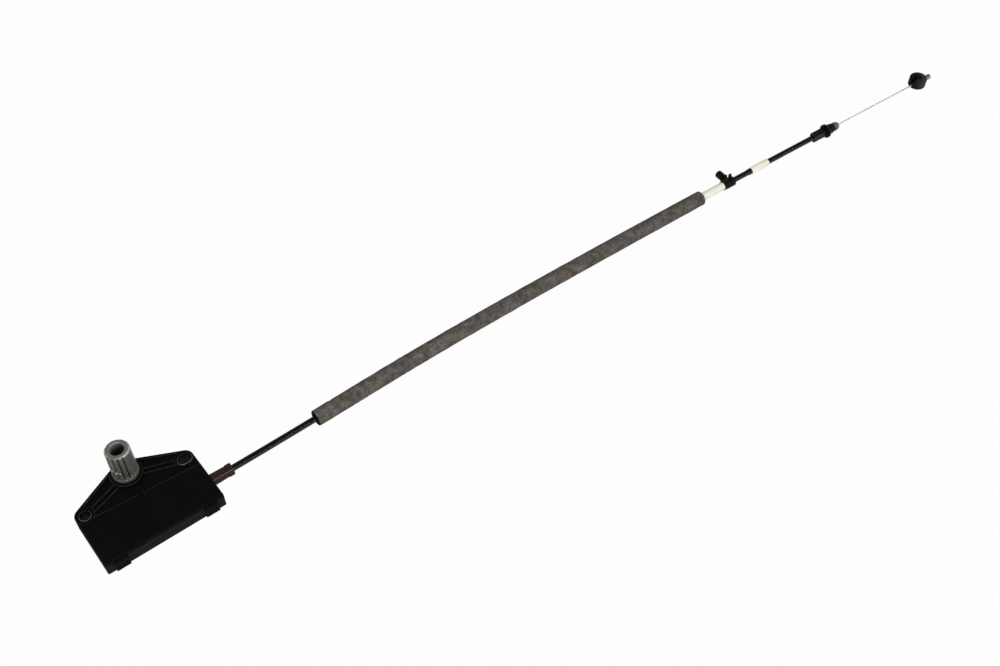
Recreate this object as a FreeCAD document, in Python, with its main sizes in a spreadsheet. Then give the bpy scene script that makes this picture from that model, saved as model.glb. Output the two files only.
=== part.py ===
"""Rotary cable actuator with a foam-sleeved control cable.

A flat two-part housing with two bolt ears carries a splined hollow shaft. A pinion on the
foot of the shaft drives a rack slider along the housing, and the slider pulls the inner
wire of the cable that leaves the short side.

Frame: +Z up along the shaft axis, origin where that axis meets the mounting face, +X along
the housing towards the cable outlet, +Y from the plate towards the shaft. Millimetres.
"""

import FreeCAD, Part
import math
import os
import re

import Sketcher
from FreeCAD import Placement, Rotation, Vector

SIZES = {
    # Housing outline, seen from above
    "ear_spacing": 77.0,
    "ear_offset": 13.8,
    "ear_radius": 7.0,
    "ear_back": 0.9,
    "housing_depth": 58.1,
    "corner_radius": 1.2,
    "wall": 1.6,
    # Housing heights
    "floor_thickness": 2.0,
    "parting_height": 8.5,
    "gable_thickness": 1.6,
    "rim_rise": 1.2,
    "plate_height": 12.8,
    "plate_thickness": 1.8,
    "ridge_left": 18.1,
    "ridge_right": 23.3,
    # Rim, ribs and boss of the lower gable zone
    "rim_width": 1.8,
    "rib_width": 1.0,
    "rib_spread": 4.2,
    "rib_shift": 0.7,
    "boss_wall": 4.0,
    "boss_height": 13.5,
    "notch_width": 4.0,
    "notch_depth": 4.0,
    "gate_radius": 4.4,
    "gate_depth": 0.3,
    # Snap straps of the cover and hooks of the tray
    "latch_offset": 34.3,
    "strap_width": 10.4,
    "strap_thickness": 2.0,
    "strap_foot": 1.0,
    "strap_shoulder": 0.6,
    "window_width": 6.4,
    "window_foot": 3.4,
    "window_top": 7.4,
    "hook_reach": 1.6,
    "hook_gap": 0.4,
    # Ear bushes
    "bush_radius": 4.3,
    "bush_bore": 2.9,
    "bush_proud": 0.3,
    "bush_chamfer": 0.3,
    "slot_stretch": 2.5,
    # Clearances
    "running_gap": 0.05,
    "fit_gap": 0.05,
    "seat_gap": 0.1,
    # Drive shaft
    "shaft_radius": 9.2,
    "shaft_length": 28.6,
    "shaft_draft": 0.35,
    "rim_chamfer": 1.0,
    "shaft_bore": 5.2,
    "bore_depth": 24.0,
    "bore_chamfer": 0.4,
    "collar_height": 2.4,
    "collar_rise": 0.3,
    "groove_width": 1.6,
    "groove_depth": 0.7,
    "groove_lift": 1.8,
    "flute_count": 15,
    "plain_count": 4,
    "flute_width": 1.5,
    "flute_depth": 0.9,
    "flute_start": 30.0,
    "flute_lift": 0.6,
    "stop_radius": 0.8,
    "stop_inset": 0.2,
    "stop_count": 3,
    "stop_start": -174.0,
    "stop_sweep": 47.0,
    "journal_radius": 7.8,
    "hex_radius": 5.0,
    "flat_reach": 4.4,
    "pivot_radius": 4.1,
    "pivot_depth": 1.1,
    "washer_thickness": 0.5,
    "washer_wall": 1.8,
    "washer_recess": 0.4,
    # Pinion, its retaining ring and the brake spring
    "gear_module": 1.0,
    "pinion_teeth": 16,
    "pinion_thickness": 3.0,
    "backlash": 0.12,
    "clip_lift": 0.1,
    "clip_thickness": 0.6,
    "clip_grip": 0.45,
    "clip_wall": 1.9,
    "clip_opening": 3.0,
    "spring_wire": 0.9,
    "spring_turns": 1.5,
    "driver_gap": 0.85,
    "drum_margin": 0.5,
    "drum_wall": 1.2,
    "drum_drop": 2.3,
    # Rack slider
    "rack_teeth": 12,
    "slider_lift": 0.3,
    "slider_thickness": 3.3,
    "slider_length": 47.0,
    "slider_stop": 2.2,
    "runner_width": 2.0,
    "runner_height": 1.6,
    "runner_near": 27.0,
    "runner_far": 52.0,
    "carrier_length": 17.0,
    "carrier_width": 12.0,
    "carrier_headroom": 0.6,
    "nipple_radius": 2.75,
    "nipple_length": 6.0,
    "nipple_setback": 10.0,
    "window_length": 17.0,
    "slider_window_width": 13.0,
    # Cable and inner wire
    "cable_height": 6.4,
    "conduit_radius": 2.5,
    "conduit_bore": 1.1,
    "wire_radius": 0.7,
    "wire_reserve": 2.0,
    # Cable outlet
    "gland_width": 6.8,
    "gland_height": 7.2,
    "gland_taper": 0.4,
    "gland_reach": 12.5,
    "gland_collar": 4.4,
    "gland_seat": 4.5,
    "gland_flange": 1.4,
    "gland_flange_rim": 0.7,
    "gland_round": 0.7,
    # Sleeves on the conduit, by distance along it
    "foam_radius": 6.3,
    "foam_gap": 0.1,
    "foam_start": 83.0,
    "foam_length": 391.0,
    "sleeve_gap": 0.3,
    "near_band_radius": 3.45,
    "near_band_length": 28.3,
    "far_band_radius": 3.05,
    "far_band_length": 20.3,
    "far_band_start": 533.2,
    # Cable clip
    "clamp_radius": 4.4,
    "clamp_length": 8.8,
    "clamp_groove": 1.2,
    "clamp_groove_depth": 0.6,
    "neck_radius": 2.7,
    "stud_flange_radius": 3.9,
    "stud_flange_start": 6.3,
    "stud_flange_thickness": 1.1,
    "stud_groove_radius": 2.5,
    "stud_groove_width": 1.0,
    "stud_radius": 3.4,
    "stud_length": 6.3,
    "stud_chamfer": 0.8,
    "tab_width": 2.0,
    "tab_inset": 0.1,
    "tab_height": 6.4,
    "tab_thickness": 2.2,
    # Conduit end fitting
    "fitting_width": 6.4,
    "fitting_height": 7.0,
    "fitting_tail": 16.2,
    "fitting_seat": 7.0,
    "fitting_round": 0.5,
    "flange_radius": 6.4,
    "flange_thickness": 1.6,
    "barrel_radius": 4.1,
    "barrel_length": 4.4,
    "ring_radius": 4.5,
    "ring_length": 1.2,
    "neck_groove_radius": 3.1,
    "neck_groove_width": 2.2,
    "nose_radius": 3.9,
    "nose_length": 6.2,
    "nose_tip_radius": 2.9,
    "nose_taper": 2.6,
    # Button and ferrule on the end of the wire
    "button_distance": 132.2,
    "button_radius": 8.05,
    "button_height": 9.7,
    "button_drop": 2.8,
    "button_chamfer": 1.0,
    "slot_width": 2.8,
    "slot_floor": 1.2,
    "recess_radius": 3.1,
    "ferrule_radius": 2.6,
    "ferrule_length": 8.8,
    "ferrule_mouth_radius": 1.7,
    "ferrule_mouth_depth": 1.8,
    "ferrule_chamfer": 0.4,
}

# Sizes that follow from the ones above
DERIVED = {
    "ear_x": "ear_spacing / 2",
    "ear_middle": "ear_offset - ear_back",
    "half_length": "ear_x + ear_radius",
    "ridge_offset": "(ridge_left + ridge_right) / 2",
    "ridge_slope": "(ridge_right - ridge_left) / ear_spacing",
    "gable_height": "parting_height + gable_thickness",
    "rim_height": "gable_height + rim_rise",
    "ceiling": "plate_height - plate_thickness",
    "plate_round": "0.6 * (plate_height - gable_height)",
    "inner_half": "half_length - wall",
    "pitch_radius": "gear_module * pinion_teeth / 2",
    "tip_radius": "pitch_radius + gear_module",
    "root_radius": "pitch_radius - 1.25 * gear_module",
    "tooth_pitch": "pi * gear_module",
    "drum_radius": "max(journal_radius + driver_gap + spring_wire + running_gap; tip_radius + drum_margin)",
    "gable_radius": "drum_radius + drum_wall + seat_gap + wall",
    "bore_radius": "journal_radius + running_gap",
    "washer_radius": "journal_radius + running_gap + washer_wall",
    "boss_radius": "bore_radius + boss_wall",
    "hole_distance": "hypot(ear_x; ear_offset)",
    "ear_distance": "hypot(ear_x; ear_middle)",
    "gable_normal": "acos((ear_radius - gable_radius) / ear_distance) + atan2(ear_middle; ear_x)",
    "washer_seat": "boss_height - washer_recess",
    "collar_foot": "washer_seat + washer_thickness + running_gap",
    "shaft_top": "collar_foot + shaft_length",
    "pivot_foot": "floor_thickness - pivot_depth + seat_gap",
    "clip_foot": "floor_thickness + clip_lift",
    "pinion_foot": "clip_foot + clip_thickness + seat_gap",
    "pinion_top": "pinion_foot + pinion_thickness",
    "shoulder": "pinion_top + running_gap",
    "slider_foot": "floor_thickness + slider_lift",
    "slider_top": "slider_foot + slider_thickness",
    "slider_right": "inner_half - slider_stop",
    "rack_root": "pitch_radius + 1.25 * gear_module",
    "rack_edge": "ear_middle + ear_radius + 0.5",
    "runner_top": "floor_thickness + runner_height",
    "carrier_top": "ceiling - carrier_headroom",
    "nipple_x": "slider_right - nipple_setback",
    "gland_foot": "cable_height - gland_height / 2",
    "gland_top": "cable_height + gland_height / 2",
    "seat_x": "half_length + gland_seat",
    "stroke": "pi * pitch_radius",
    "bored_length": "stroke + 2 * wire_reserve",
    "stud_groove_start": "stud_flange_start + stud_flange_thickness",
    "stud_start": "stud_groove_start + stud_groove_width",
    "ring_start": "flange_thickness + barrel_length",
    "neck_groove_start": "ring_start + ring_length",
    "nose_start": "neck_groove_start + neck_groove_width",
    "nose_end": "nose_start + nose_length",
}

# Points of the cable's route, seen from above, from the seat in the outlet to the end fitting
ROUTE = [
    (50.0, -38.3),
    (111.0, -38.3),
    (234.0, -35.4),
    (358.0, -37.3),
    (482.0, -40.9),
    (606.0, -45.4),
    (666.4, -48.2),
]
ARC_SHARE = 0.45
PRESSURE_ANGLE = 20.0
RACK_ADDENDUM = 0.9

document = FreeCAD.newDocument("cable_actuator")
sheet = document.addObject("Spreadsheet::Sheet", "dims")
for row, (alias, size) in enumerate(SIZES.items(), 1):
    sheet.set("A%d" % row, alias)
    sheet.set("B%d" % row, str(size))
    sheet.setAlias("B%d" % row, alias)
document.recompute()

pieces = []


def formula(text):
    """Spell a size expression out in the sheet's aliases."""
    def spelled(match):
        word = match.group()
        if word in DERIVED:
            return "(" + formula(DERIVED[word]) + ")"
        if word in SIZES:
            return "dims." + word
        return word
    return re.sub(r"[a-z][a-z_]+", spelled, text)


def number(text):
    """Value of a size expression."""
    value = sheet.evalExpression(formula(text))
    return float(getattr(value, "Value", value))


def bind(thing, path, text):
    """Tie a property of an object to a size expression."""
    thing.setExpression(path, formula(text))


class Profile:
    """A sketch on an origin plane of a body, with every coordinate tied to the sheet."""

    def __init__(self, body, name, plane="XY_Plane", lift="0", turn="0"):
        self.sketch = body.newObject("Sketcher::SketchObject", name)
        support = [item for item in body.Origin.OriginFeatures if item.Role == plane]
        self.sketch.AttachmentSupport = [(support[0], "")]
        self.sketch.MapMode = "FlatFace"
        self.sketch.AttachmentOffset = Placement(Vector(0, 0, 0), Rotation(Vector(0, 0, 1), number(turn)))
        bind(self.sketch, "AttachmentOffset.Base.z", lift)

    def tie(self, kind, geometry, vertex, text):
        """Hold a coordinate, radius or distance at a size expression."""
        parts = [kind, geometry] + ([] if vertex is None else [vertex]) + [number(text)]
        index = self.sketch.addConstraint(Sketcher.Constraint(*parts))
        bind(self.sketch, "Constraints[%d]" % index, text)

    def join(self, kind, first, first_end, second, second_end):
        """Join two ends, sharply or tangentially."""
        self.sketch.addConstraint(Sketcher.Constraint(kind, first, first_end, second, second_end))

    def point(self, geometry, vertex, x, y):
        """Hold a vertex at two coordinates."""
        self.tie("DistanceX", geometry, vertex, x)
        self.tie("DistanceY", geometry, vertex, y)

    def polygon(self, corners):
        """Closed outline of straight lines through the corners."""
        places = [Vector(number(x), number(y), 0) for x, y in corners]
        following = places[1:] + places[:1]
        lines = [self.sketch.addGeometry(Part.LineSegment(a, b), False) for a, b in zip(places, following)]
        for line, after in zip(lines, lines[1:] + lines[:1]):
            self.join("Coincident", line, 2, after, 1)
        for line, (x, y) in zip(lines, corners):
            self.point(line, 1, x, y)
        return self

    def rectangle(self, left, low, right, high):
        """Rectangle between two corners."""
        return self.polygon([(left, low), (right, low), (right, high), (left, high)])

    def circle(self, x, y, radius):
        """Full circle."""
        shape = Part.Circle(Vector(number(x), number(y), 0), Vector(0, 0, 1), number(radius))
        circle = self.sketch.addGeometry(shape, False)
        self.point(circle, 3, x, y)
        self.tie("Radius", circle, None, radius)
        return self

    def slot(self, x, y, stretch, radius):
        """Round-ended slot along the sketch's first axis."""
        reach, r = number(stretch) / 2, number(radius)
        cx, cy = number(x), number(y)
        quarter = math.pi / 2
        top = Part.LineSegment(Vector(cx - reach, cy + r, 0), Vector(cx + reach, cy + r, 0))
        low = Part.LineSegment(Vector(cx + reach, cy - r, 0), Vector(cx - reach, cy - r, 0))
        right_circle = Part.Circle(Vector(cx + reach, cy, 0), Vector(0, 0, 1), r)
        left_circle = Part.Circle(Vector(cx - reach, cy, 0), Vector(0, 0, 1), r)
        right = Part.ArcOfCircle(right_circle, -quarter, quarter)
        left = Part.ArcOfCircle(left_circle, quarter, 3 * quarter)
        top, right, low, left = [self.sketch.addGeometry(item, False) for item in (top, right, low, left)]
        self.join("Tangent", top, 2, right, 2)
        self.join("Tangent", right, 1, low, 1)
        self.join("Tangent", low, 2, left, 2)
        self.join("Tangent", left, 1, top, 1)
        self.tie("Radius", right, None, radius)
        self.point(right, 3, "%s + %s / 2" % (x, stretch), y)
        self.point(left, 3, "%s - %s / 2" % (x, stretch), y)
        return self

    def double_flat(self, radius, reach):
        """Circle about the origin with two flats across the first axis."""
        r, x = number(radius), number(reach)
        angle = math.acos(x / r)
        y = r * math.sin(angle)
        whole = Part.Circle(Vector(0, 0, 0), Vector(0, 0, 1), r)
        round_top = Part.ArcOfCircle(whole, angle, math.pi - angle)
        round_low = Part.ArcOfCircle(whole, math.pi + angle, 2 * math.pi - angle)
        flat_left = Part.LineSegment(Vector(-x, y, 0), Vector(-x, -y, 0))
        flat_right = Part.LineSegment(Vector(x, -y, 0), Vector(x, y, 0))
        items = (round_top, flat_left, round_low, flat_right)
        round_top, flat_left, round_low, flat_right = [self.sketch.addGeometry(item, False) for item in items]
        self.join("Coincident", round_top, 2, flat_left, 1)
        self.join("Coincident", flat_left, 2, round_low, 1)
        self.join("Coincident", round_low, 2, flat_right, 1)
        self.join("Coincident", flat_right, 2, round_top, 1)
        for arc in (round_top, round_low):
            self.join("Coincident", arc, 3, -1, 1)
            self.tie("Radius", arc, None, radius)
        for flat, side in ((flat_left, "-"), (flat_right, "")):
            self.sketch.addConstraint(Sketcher.Constraint("Vertical", flat))
            self.tie("DistanceX", flat, 1, "%s(%s)" % (side, reach))
        return self


def new_body(name):
    """Start a piece that is built from sketches."""
    body = document.addObject("PartDesign::Body", name)
    body.Label = name
    pieces.append(body)
    return body


def volume(body):
    """Volume of a body so far."""
    return body.Shape.Volume if body.Tip else 0.0


def pad(body, name, profile, length, back=False, middle=False):
    """Add material from a profile along its plane's normal."""
    before = volume(body)
    feature = body.newObject("PartDesign::Pad", name)
    feature.Profile = profile.sketch
    bind(feature, "Length", length)
    feature.Reversed = back
    feature.Midplane = middle
    document.recompute()
    if volume(body) <= before:
        raise ValueError("%s adds nothing" % name)
    return feature


def pocket(body, name, profile, depth, back=False):
    """Remove material from a profile against its plane's normal."""
    before = volume(body)
    feature = body.newObject("PartDesign::Pocket", name)
    feature.Profile = profile.sketch
    bind(feature, "Length", depth)
    feature.Reversed = back
    document.recompute()
    if volume(body) >= before:
        raise ValueError("%s cuts nothing" % name)
    return feature


def revolve(body, name, profile, axis, kind="PartDesign::Revolution"):
    """Turn a profile a full circle about an axis of its sketch."""
    before = volume(body)
    feature = body.newObject(kind, name)
    feature.Profile = profile.sketch
    feature.ReferenceAxis = (profile.sketch, [axis])
    feature.Angle = 360.0
    document.recompute()
    if volume(body) == before:
        raise ValueError("%s changes nothing" % name)
    return feature


def polar(body, name, feature, count, angle):
    """Repeat a feature about the body's Z axis."""
    pattern = body.newObject("PartDesign::PolarPattern", name)
    pattern.Originals = [feature]
    pattern.Axis = ([item for item in body.Origin.OriginFeatures if item.Role == "Z_Axis"][0], [""])
    bind(pattern, "Angle", angle)
    bind(pattern, "Occurrences", count)
    body.Tip = pattern
    document.recompute()
    return pattern


def dress(body, kind, name, size, chosen):
    """Fillet or chamfer the edges that a test chooses."""
    base = body.Tip
    edges = ["Edge%d" % (i + 1) for i, edge in enumerate(base.Shape.Edges) if chosen(edge)]
    if not edges:
        raise ValueError("%s finds no edge" % name)
    feature = body.newObject("PartDesign::" + kind, name)
    feature.Base = (base, edges)
    bind(feature, "Radius" if kind == "Fillet" else "Size", size)
    document.recompute()
    return feature


def near(value, target):
    """Whether a measure is at a place of the model."""
    return abs(value - target) < 0.01


def upright(edge):
    """Whether an edge runs straight along Z."""
    box = edge.BoundBox
    return box.XLength < 0.001 and box.YLength < 0.001 and box.ZLength > 0.1


def level_at(edge, height):
    """Whether an edge lies flat at a height."""
    return near(edge.BoundBox.ZMin, height) and near(edge.BoundBox.ZMax, height)


# Outlines of the housing


def tangent_corner(side, centre, radius):
    """Where the gable's straight edge leaves the ear or the shaft circle."""
    x = "%s(%s * cos(gable_normal))" % ("" if side < 0 else "-", radius)
    y = "%s * sin(gable_normal)" % radius
    if centre == "shaft":
        return x, y
    return "%sear_x + %s" % ("-" if side < 0 else "", x), "%s - ear_middle" % y


def ridge(x):
    """Place of the ridge between the plate and the gable zone, which slants a little."""
    return "-ridge_offset - ridge_slope * (%s)" % x


def outline(inset, to_ridge=False):
    """Corners of the housing outline, moved in by an inset, down to the front or to the ridge."""
    ear = "(ear_radius - %s)" % inset
    gable = "(gable_radius - %s)" % inset
    side = "half_length - %s" % inset
    front = "-(housing_depth - %s)" % inset
    left, right = "-(%s)" % side, side
    return [
        (left, ridge(left) if to_ridge else front),
        (right, ridge(right) if to_ridge else front),
        (side, "-ear_middle"),
        tangent_corner(1, "ear", ear),
        tangent_corner(1, "shaft", gable),
        tangent_corner(-1, "shaft", gable),
        tangent_corner(-1, "ear", ear),
        ("-(%s)" % side, "-ear_middle"),
    ]


def ear_circles(body, name, lift, radius):
    """Profile of a circle at each ear."""
    profile = Profile(body, name, lift=lift)
    profile.circle("-ear_x", "-ear_middle", radius)
    profile.circle("ear_x", "-ear_middle", radius)
    return profile


def slab(body, name, lift, height, to_ridge=False):
    """Pad of the housing outline with its round ears and gable top."""
    pad(body, name, Profile(body, name + "_edge", lift=lift).polygon(outline("0", to_ridge)), height)
    pad(body, name + "_ears", ear_circles(body, name + "_ear_edge", lift, "ear_radius"), height)
    top = Profile(body, name + "_top_edge", lift=lift).circle("0", "0", "gable_radius")
    pad(body, name + "_top", top, height)


def round_front_corners(body, name):
    """Round the two upright corners at the front."""
    reach, front = number("half_length"), -number("housing_depth")

    def front_corner(edge):
        return upright(edge) and near(abs(edge.BoundBox.XMin), reach) and near(edge.BoundBox.YMin, front)

    dress(body, "Fillet", name, "corner_radius", front_corner)


def bush_seats(body, lift, depth):
    """Round and slotted seats for the ear bushes."""
    seat = "(bush_radius + fit_gap)"
    hole = Profile(body, "round_seat_edge", lift=lift).circle("-ear_x", "-ear_offset", seat)
    pocket(body, "round_seat", hole, depth)
    slot = Profile(body, "slot_seat_edge", lift=lift).slot("ear_x", "-ear_offset", "slot_stretch", seat)
    pocket(body, "slot_seat", slot, depth)


def gland_opening(body, low, high):
    """Opening for the cable outlet in the right-hand wall."""
    profile = Profile(body, "outlet_edge", plane="YZ_Plane", lift="half_length + 1")
    half = "gland_width / 2 + seat_gap"
    profile.rectangle("-cable_y - (%s)" % half, low, "-cable_y + %s" % half, high)
    pocket(body, "outlet", profile, "wall + 2")


# The first point of the route sets the outlet's place
SIZES_FROM_ROUTE = {"cable_y": str(-ROUTE[0][1])}
DERIVED.update(SIZES_FROM_ROUTE)


def make_base_tray():
    """Tray with ear columns, runner ribs, shaft pivot and snap hooks."""
    body = new_body("base_tray")
    slab(body, "tray", "0", "parting_height")
    round_front_corners(body, "tray_corners")
    depth = "parting_height - floor_thickness"
    inside = Profile(body, "inside_edge", lift="parting_height").polygon(outline("wall"))
    pocket(body, "inside", inside, depth)
    top = Profile(body, "gable_edge", lift="parting_height").circle("0", "0", "gable_radius - wall")
    pocket(body, "gable_inside", top, depth)
    pad(body, "ear_columns", ear_circles(body, "column_edge", "0", "ear_radius"), "parting_height")
    bush_seats(body, "parting_height + 1", "parting_height + 2")
    pivot = Profile(body, "pivot_edge", lift="floor_thickness").circle("0", "0", "pivot_radius + running_gap")
    pocket(body, "pivot", pivot, "pivot_depth")
    runners = Profile(body, "runner_edge", lift="floor_thickness")
    for place in ("runner_near", "runner_far"):
        low, high = "-%s - runner_width / 2" % place, "-%s + runner_width / 2" % place
        runners.rectangle("-(inner_half - 1)", low, "inner_half - 1", high)
    pad(body, "runners", runners, "runner_height")
    gland_opening(body, "gland_foot - seat_gap", "parting_height + 1")
    for side, place in (("left", "-latch_offset"), ("right", "latch_offset")):
        hook = Profile(body, side + "_hook_edge", plane="YZ_Plane", lift=place)
        low, high = "window_foot + hook_gap", "window_top - hook_gap"
        face, tip = "-housing_depth", "-housing_depth - hook_reach"
        hook.polygon([(face, low), (face, high), (tip, low)])
        pad(body, side + "_hook", hook, "window_width - 2 * hook_gap", middle=True)


def twin_ribs(profile):
    """Two thin ribs from each ear boss to the shaft boss."""
    for side in ("-", ""):
        for offset in ("rib_shift - rib_spread / 2", "rib_shift + rib_spread / 2"):
            corners = []
            for along, edge in (("start", "-"), ("start", "+"), ("end", "+"), ("end", "-")):
                reach = "(hole_distance - ear_radius + 1.5)" if along == "start" else "(boss_radius - 1)"
                across = "(%s %s rib_width / 2)" % (offset, edge)
                x = "%s((%s * ear_x - %s * ear_offset) / hole_distance)" % (side, reach, across)
                y = "-(%s * ear_offset + %s * ear_x) / hole_distance" % (reach, across)
                corners.append((x, y))
            profile.polygon(corners)
    return profile


def make_cover():
    """Cover with raised plate, ribbed gable zone, shaft boss, brake drum and snap straps."""
    body = new_body("cover")
    slab(body, "skirt", "parting_height", "gable_thickness")
    plate = Profile(body, "plate_edge", lift="parting_height")
    left, right, front = "-half_length", "half_length", "-housing_depth"
    plate.polygon([(left, front), (right, front), (right, ridge(right)), (left, ridge(left))])
    pad(body, "plate", plate, "plate_height - parting_height")
    round_front_corners(body, "cover_corners")
    top = number("plate_height")
    dress(body, "Fillet", "plate_edges", "plate_round", lambda edge: level_at(edge, top))

    slab(body, "rim", "gable_height", "rim_rise", to_ridge=True)
    clearing = ear_circles(body, "ear_clearing_edge", "plate_height", "ear_radius")
    pocket(body, "ear_clearing", clearing, "plate_height - rim_height")
    recess = Profile(body, "recess_edge", lift="rim_height")
    recess.polygon([("-ear_x", ridge("-ear_x")), ("ear_x", ridge("ear_x"))] + outline("rim_width")[3:7])
    pocket(body, "recess", recess, "rim_rise")
    pad(body, "ribs", twin_ribs(Profile(body, "rib_edge", lift="gable_height")), "rim_rise")
    pad(body, "ear_bosses", ear_circles(body, "ear_boss_edge", "gable_height", "ear_radius"), "rim_rise")
    boss = Profile(body, "boss_edge", lift="gable_height").circle("0", "0", "boss_radius")
    pad(body, "boss", boss, "boss_height - gable_height")
    seat = Profile(body, "washer_seat_edge", lift="boss_height").circle("0", "0", "washer_radius + seat_gap")
    pocket(body, "washer_seat", seat, "washer_recess")

    notch = Profile(body, "notch_edge", lift="plate_height")
    low, high = "-ridge_offset - notch_depth", "-ridge_offset + 1"
    notch.rectangle("-notch_width / 2", low, "notch_width / 2", high)
    pocket(body, "notch", notch, "plate_height - rim_height")
    gate = Profile(body, "gate_edge", lift="plate_height")
    gate.circle("0", "-(housing_depth + ridge_offset) / 2", "gate_radius")
    pocket(body, "gate_mark", gate, "gate_depth")

    cavity = Profile(body, "cavity_edge", lift="parting_height")
    low, high = "-(housing_depth - wall)", "-max(ridge_left; ridge_right) - wall"
    cavity.rectangle("-inner_half", low, "inner_half", high)
    pocket(body, "cavity", cavity, "ceiling - parting_height", back=True)
    drum = Profile(body, "drum_edge", lift="parting_height")
    drum.circle("0", "0", "drum_radius").circle("0", "0", "drum_radius + drum_wall")
    pad(body, "drum", drum, "drum_drop", back=True)
    bore = Profile(body, "bore_edge", lift="boss_height").circle("0", "0", "bore_radius")
    pocket(body, "shaft_bore", bore, "boss_height")
    bush_seats(body, "rim_height + 1", "rim_height")
    gland_opening(body, "parting_height - 1", "gland_top + seat_gap")

    straps = Profile(body, "strap_edge", lift="strap_foot")
    windows = Profile(body, "window_edge", plane="XZ_Plane", lift="housing_depth + strap_thickness + 1")
    for middle in ("-latch_offset", "latch_offset"):
        left, right = middle + " - strap_width / 2", middle + " + strap_width / 2"
        straps.rectangle(left, "-housing_depth - strap_thickness", right, "-housing_depth")
        left, right = middle + " - window_width / 2", middle + " + window_width / 2"
        windows.rectangle(left, "window_foot", right, "window_top")
    pad(body, "straps", straps, "plate_height - plate_round - strap_shoulder - strap_foot")
    shoulder = number("plate_height - plate_round - strap_shoulder")
    face = -number("housing_depth + strap_thickness")

    def strap_top(edge):
        return level_at(edge, shoulder) and near(edge.BoundBox.YMin, face) and near(edge.BoundBox.YMax, face)

    dress(body, "Chamfer", "strap_chamfer", "strap_thickness / 2", strap_top)
    pocket(body, "strap_windows", windows, "strap_thickness + 1.5")


def make_bushes():
    """Steel bushes that take the clamping load of the two screws."""
    top = number("rim_height + bush_proud")

    def bush_end(edge):
        return level_at(edge, top) or level_at(edge, 0)

    for name in ("round_bush", "slotted_bush"):
        body = new_body(name)
        profile = Profile(body, name + "_edge")
        for radius in ("bush_radius", "bush_bore"):
            if name == "round_bush":
                profile.circle("-ear_x", "-ear_offset", radius)
            else:
                profile.slot("ear_x", "-ear_offset", "slot_stretch", radius)
        pad(body, name + "_tube", profile, "rim_height + bush_proud")
        dress(body, "Chamfer", name + "_chamfer", "bush_chamfer", bush_end)


def make_drive_shaft():
    """Hollow shaft with flutes, a snap groove, a journal, flats for the pinion and a pivot."""
    body = new_body("drive_shaft")
    collar_top = "(collar_foot + collar_height)"
    groove = "(%s + groove_lift)" % collar_top
    outer = "shaft_radius - groove_depth"
    profile = Profile(body, "shaft_section", plane="XZ_Plane")
    profile.polygon([
        ("0", "shoulder"),
        ("journal_radius", "shoulder"),
        ("journal_radius", "collar_foot"),
        ("shaft_radius + collar_rise", "collar_foot"),
        ("shaft_radius + collar_rise", collar_top),
        ("shaft_radius", collar_top + " + collar_rise"),
        ("shaft_radius", groove),
        (outer, groove + " + groove_depth / 2"),
        (outer, groove + " + groove_width"),
        ("shaft_radius", groove + " + groove_width + groove_depth / 2"),
        ("shaft_radius - shaft_draft", "shaft_top - rim_chamfer"),
        ("shaft_radius - shaft_draft - rim_chamfer", "shaft_top"),
        ("shaft_bore + bore_chamfer", "shaft_top"),
        ("shaft_bore", "shaft_top - bore_chamfer"),
        ("shaft_bore", "shaft_top - bore_depth"),
        ("0", "shaft_top - bore_depth - shaft_bore / 2"),
    ])
    revolve(body, "shaft_turn", profile, "V_Axis")
    flats = Profile(body, "flats_edge", lift="shoulder").double_flat("hex_radius", "flat_reach")
    pad(body, "pinion_seat", flats, "shoulder - pinion_foot", back=True)
    pivot = Profile(body, "shaft_pivot_edge", lift="pinion_foot").circle("0", "0", "pivot_radius")
    pad(body, "shaft_pivot", pivot, "pinion_foot - pivot_foot", back=True)
    ring = Profile(body, "ring_groove_edge", lift="clip_foot + clip_thickness + seat_gap / 2")
    ring.circle("0", "0", "pivot_radius + 1").circle("0", "0", "pivot_radius - clip_grip")
    pocket(body, "ring_groove", ring, "clip_thickness + seat_gap")

    flute = Profile(body, "flute_edge", lift="shaft_top + 1", turn="flute_start")
    inner, mouth = "shaft_radius - flute_depth", "shaft_radius + 1"
    flute.polygon([
        (inner, "-flute_width / 3"),
        (mouth, "-flute_width / 2 - flute_width / 6"),
        (mouth, "flute_width / 2 + flute_width / 6"),
        (inner, "flute_width / 3"),
    ])
    cut = pocket(body, "flute", flute, "shaft_top + 1 - %s - collar_rise - flute_lift" % collar_top)
    kept = "(flute_count - plain_count)"
    polar(body, "flutes", cut, kept, "360 * (%s - 1) / flute_count" % kept)

    stop = Profile(body, "stop_edge", lift=groove, turn="stop_start")
    stop.circle("shaft_radius - stop_inset", "0", "stop_radius")
    first = pad(body, "stop", stop, "groove_width + groove_depth / 2")
    polar(body, "stops", first, "stop_count", "stop_sweep")


def make_thrust_washer():
    """Ring between the shaft's collar and the boss."""
    body = new_body("thrust_washer")
    profile = Profile(body, "washer_edge", lift="washer_seat")
    profile.circle("0", "0", "washer_radius").circle("0", "0", "bore_radius")
    pad(body, "washer_ring", profile, "washer_thickness")


def involute(radius, base):
    """Involute function at a radius, for a base circle."""
    angle = math.acos(min(1.0, base / radius))
    return math.tan(angle) - angle


def tooth_corners():
    """Corners of one pinion tooth that points along -Y, flanks on the involute."""
    pitch, tip, root = number("pitch_radius"), number("tip_radius"), number("root_radius")
    base = pitch * math.cos(math.radians(PRESSURE_ANGLE))
    half = (number("tooth_pitch") / 2 - number("backlash") / 2) / 2 / pitch + involute(pitch, base)
    radii = [base + (tip - base) * step / 4 for step in range(5)]
    flank = [(radius, half - involute(radius, base)) for radius in radii]
    flank.insert(0, (root - 0.3, flank[0][1]))
    right = [(r * math.sin(a), -r * math.cos(a)) for r, a in flank]
    return right + [(-x, y) for x, y in reversed(right)]


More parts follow.
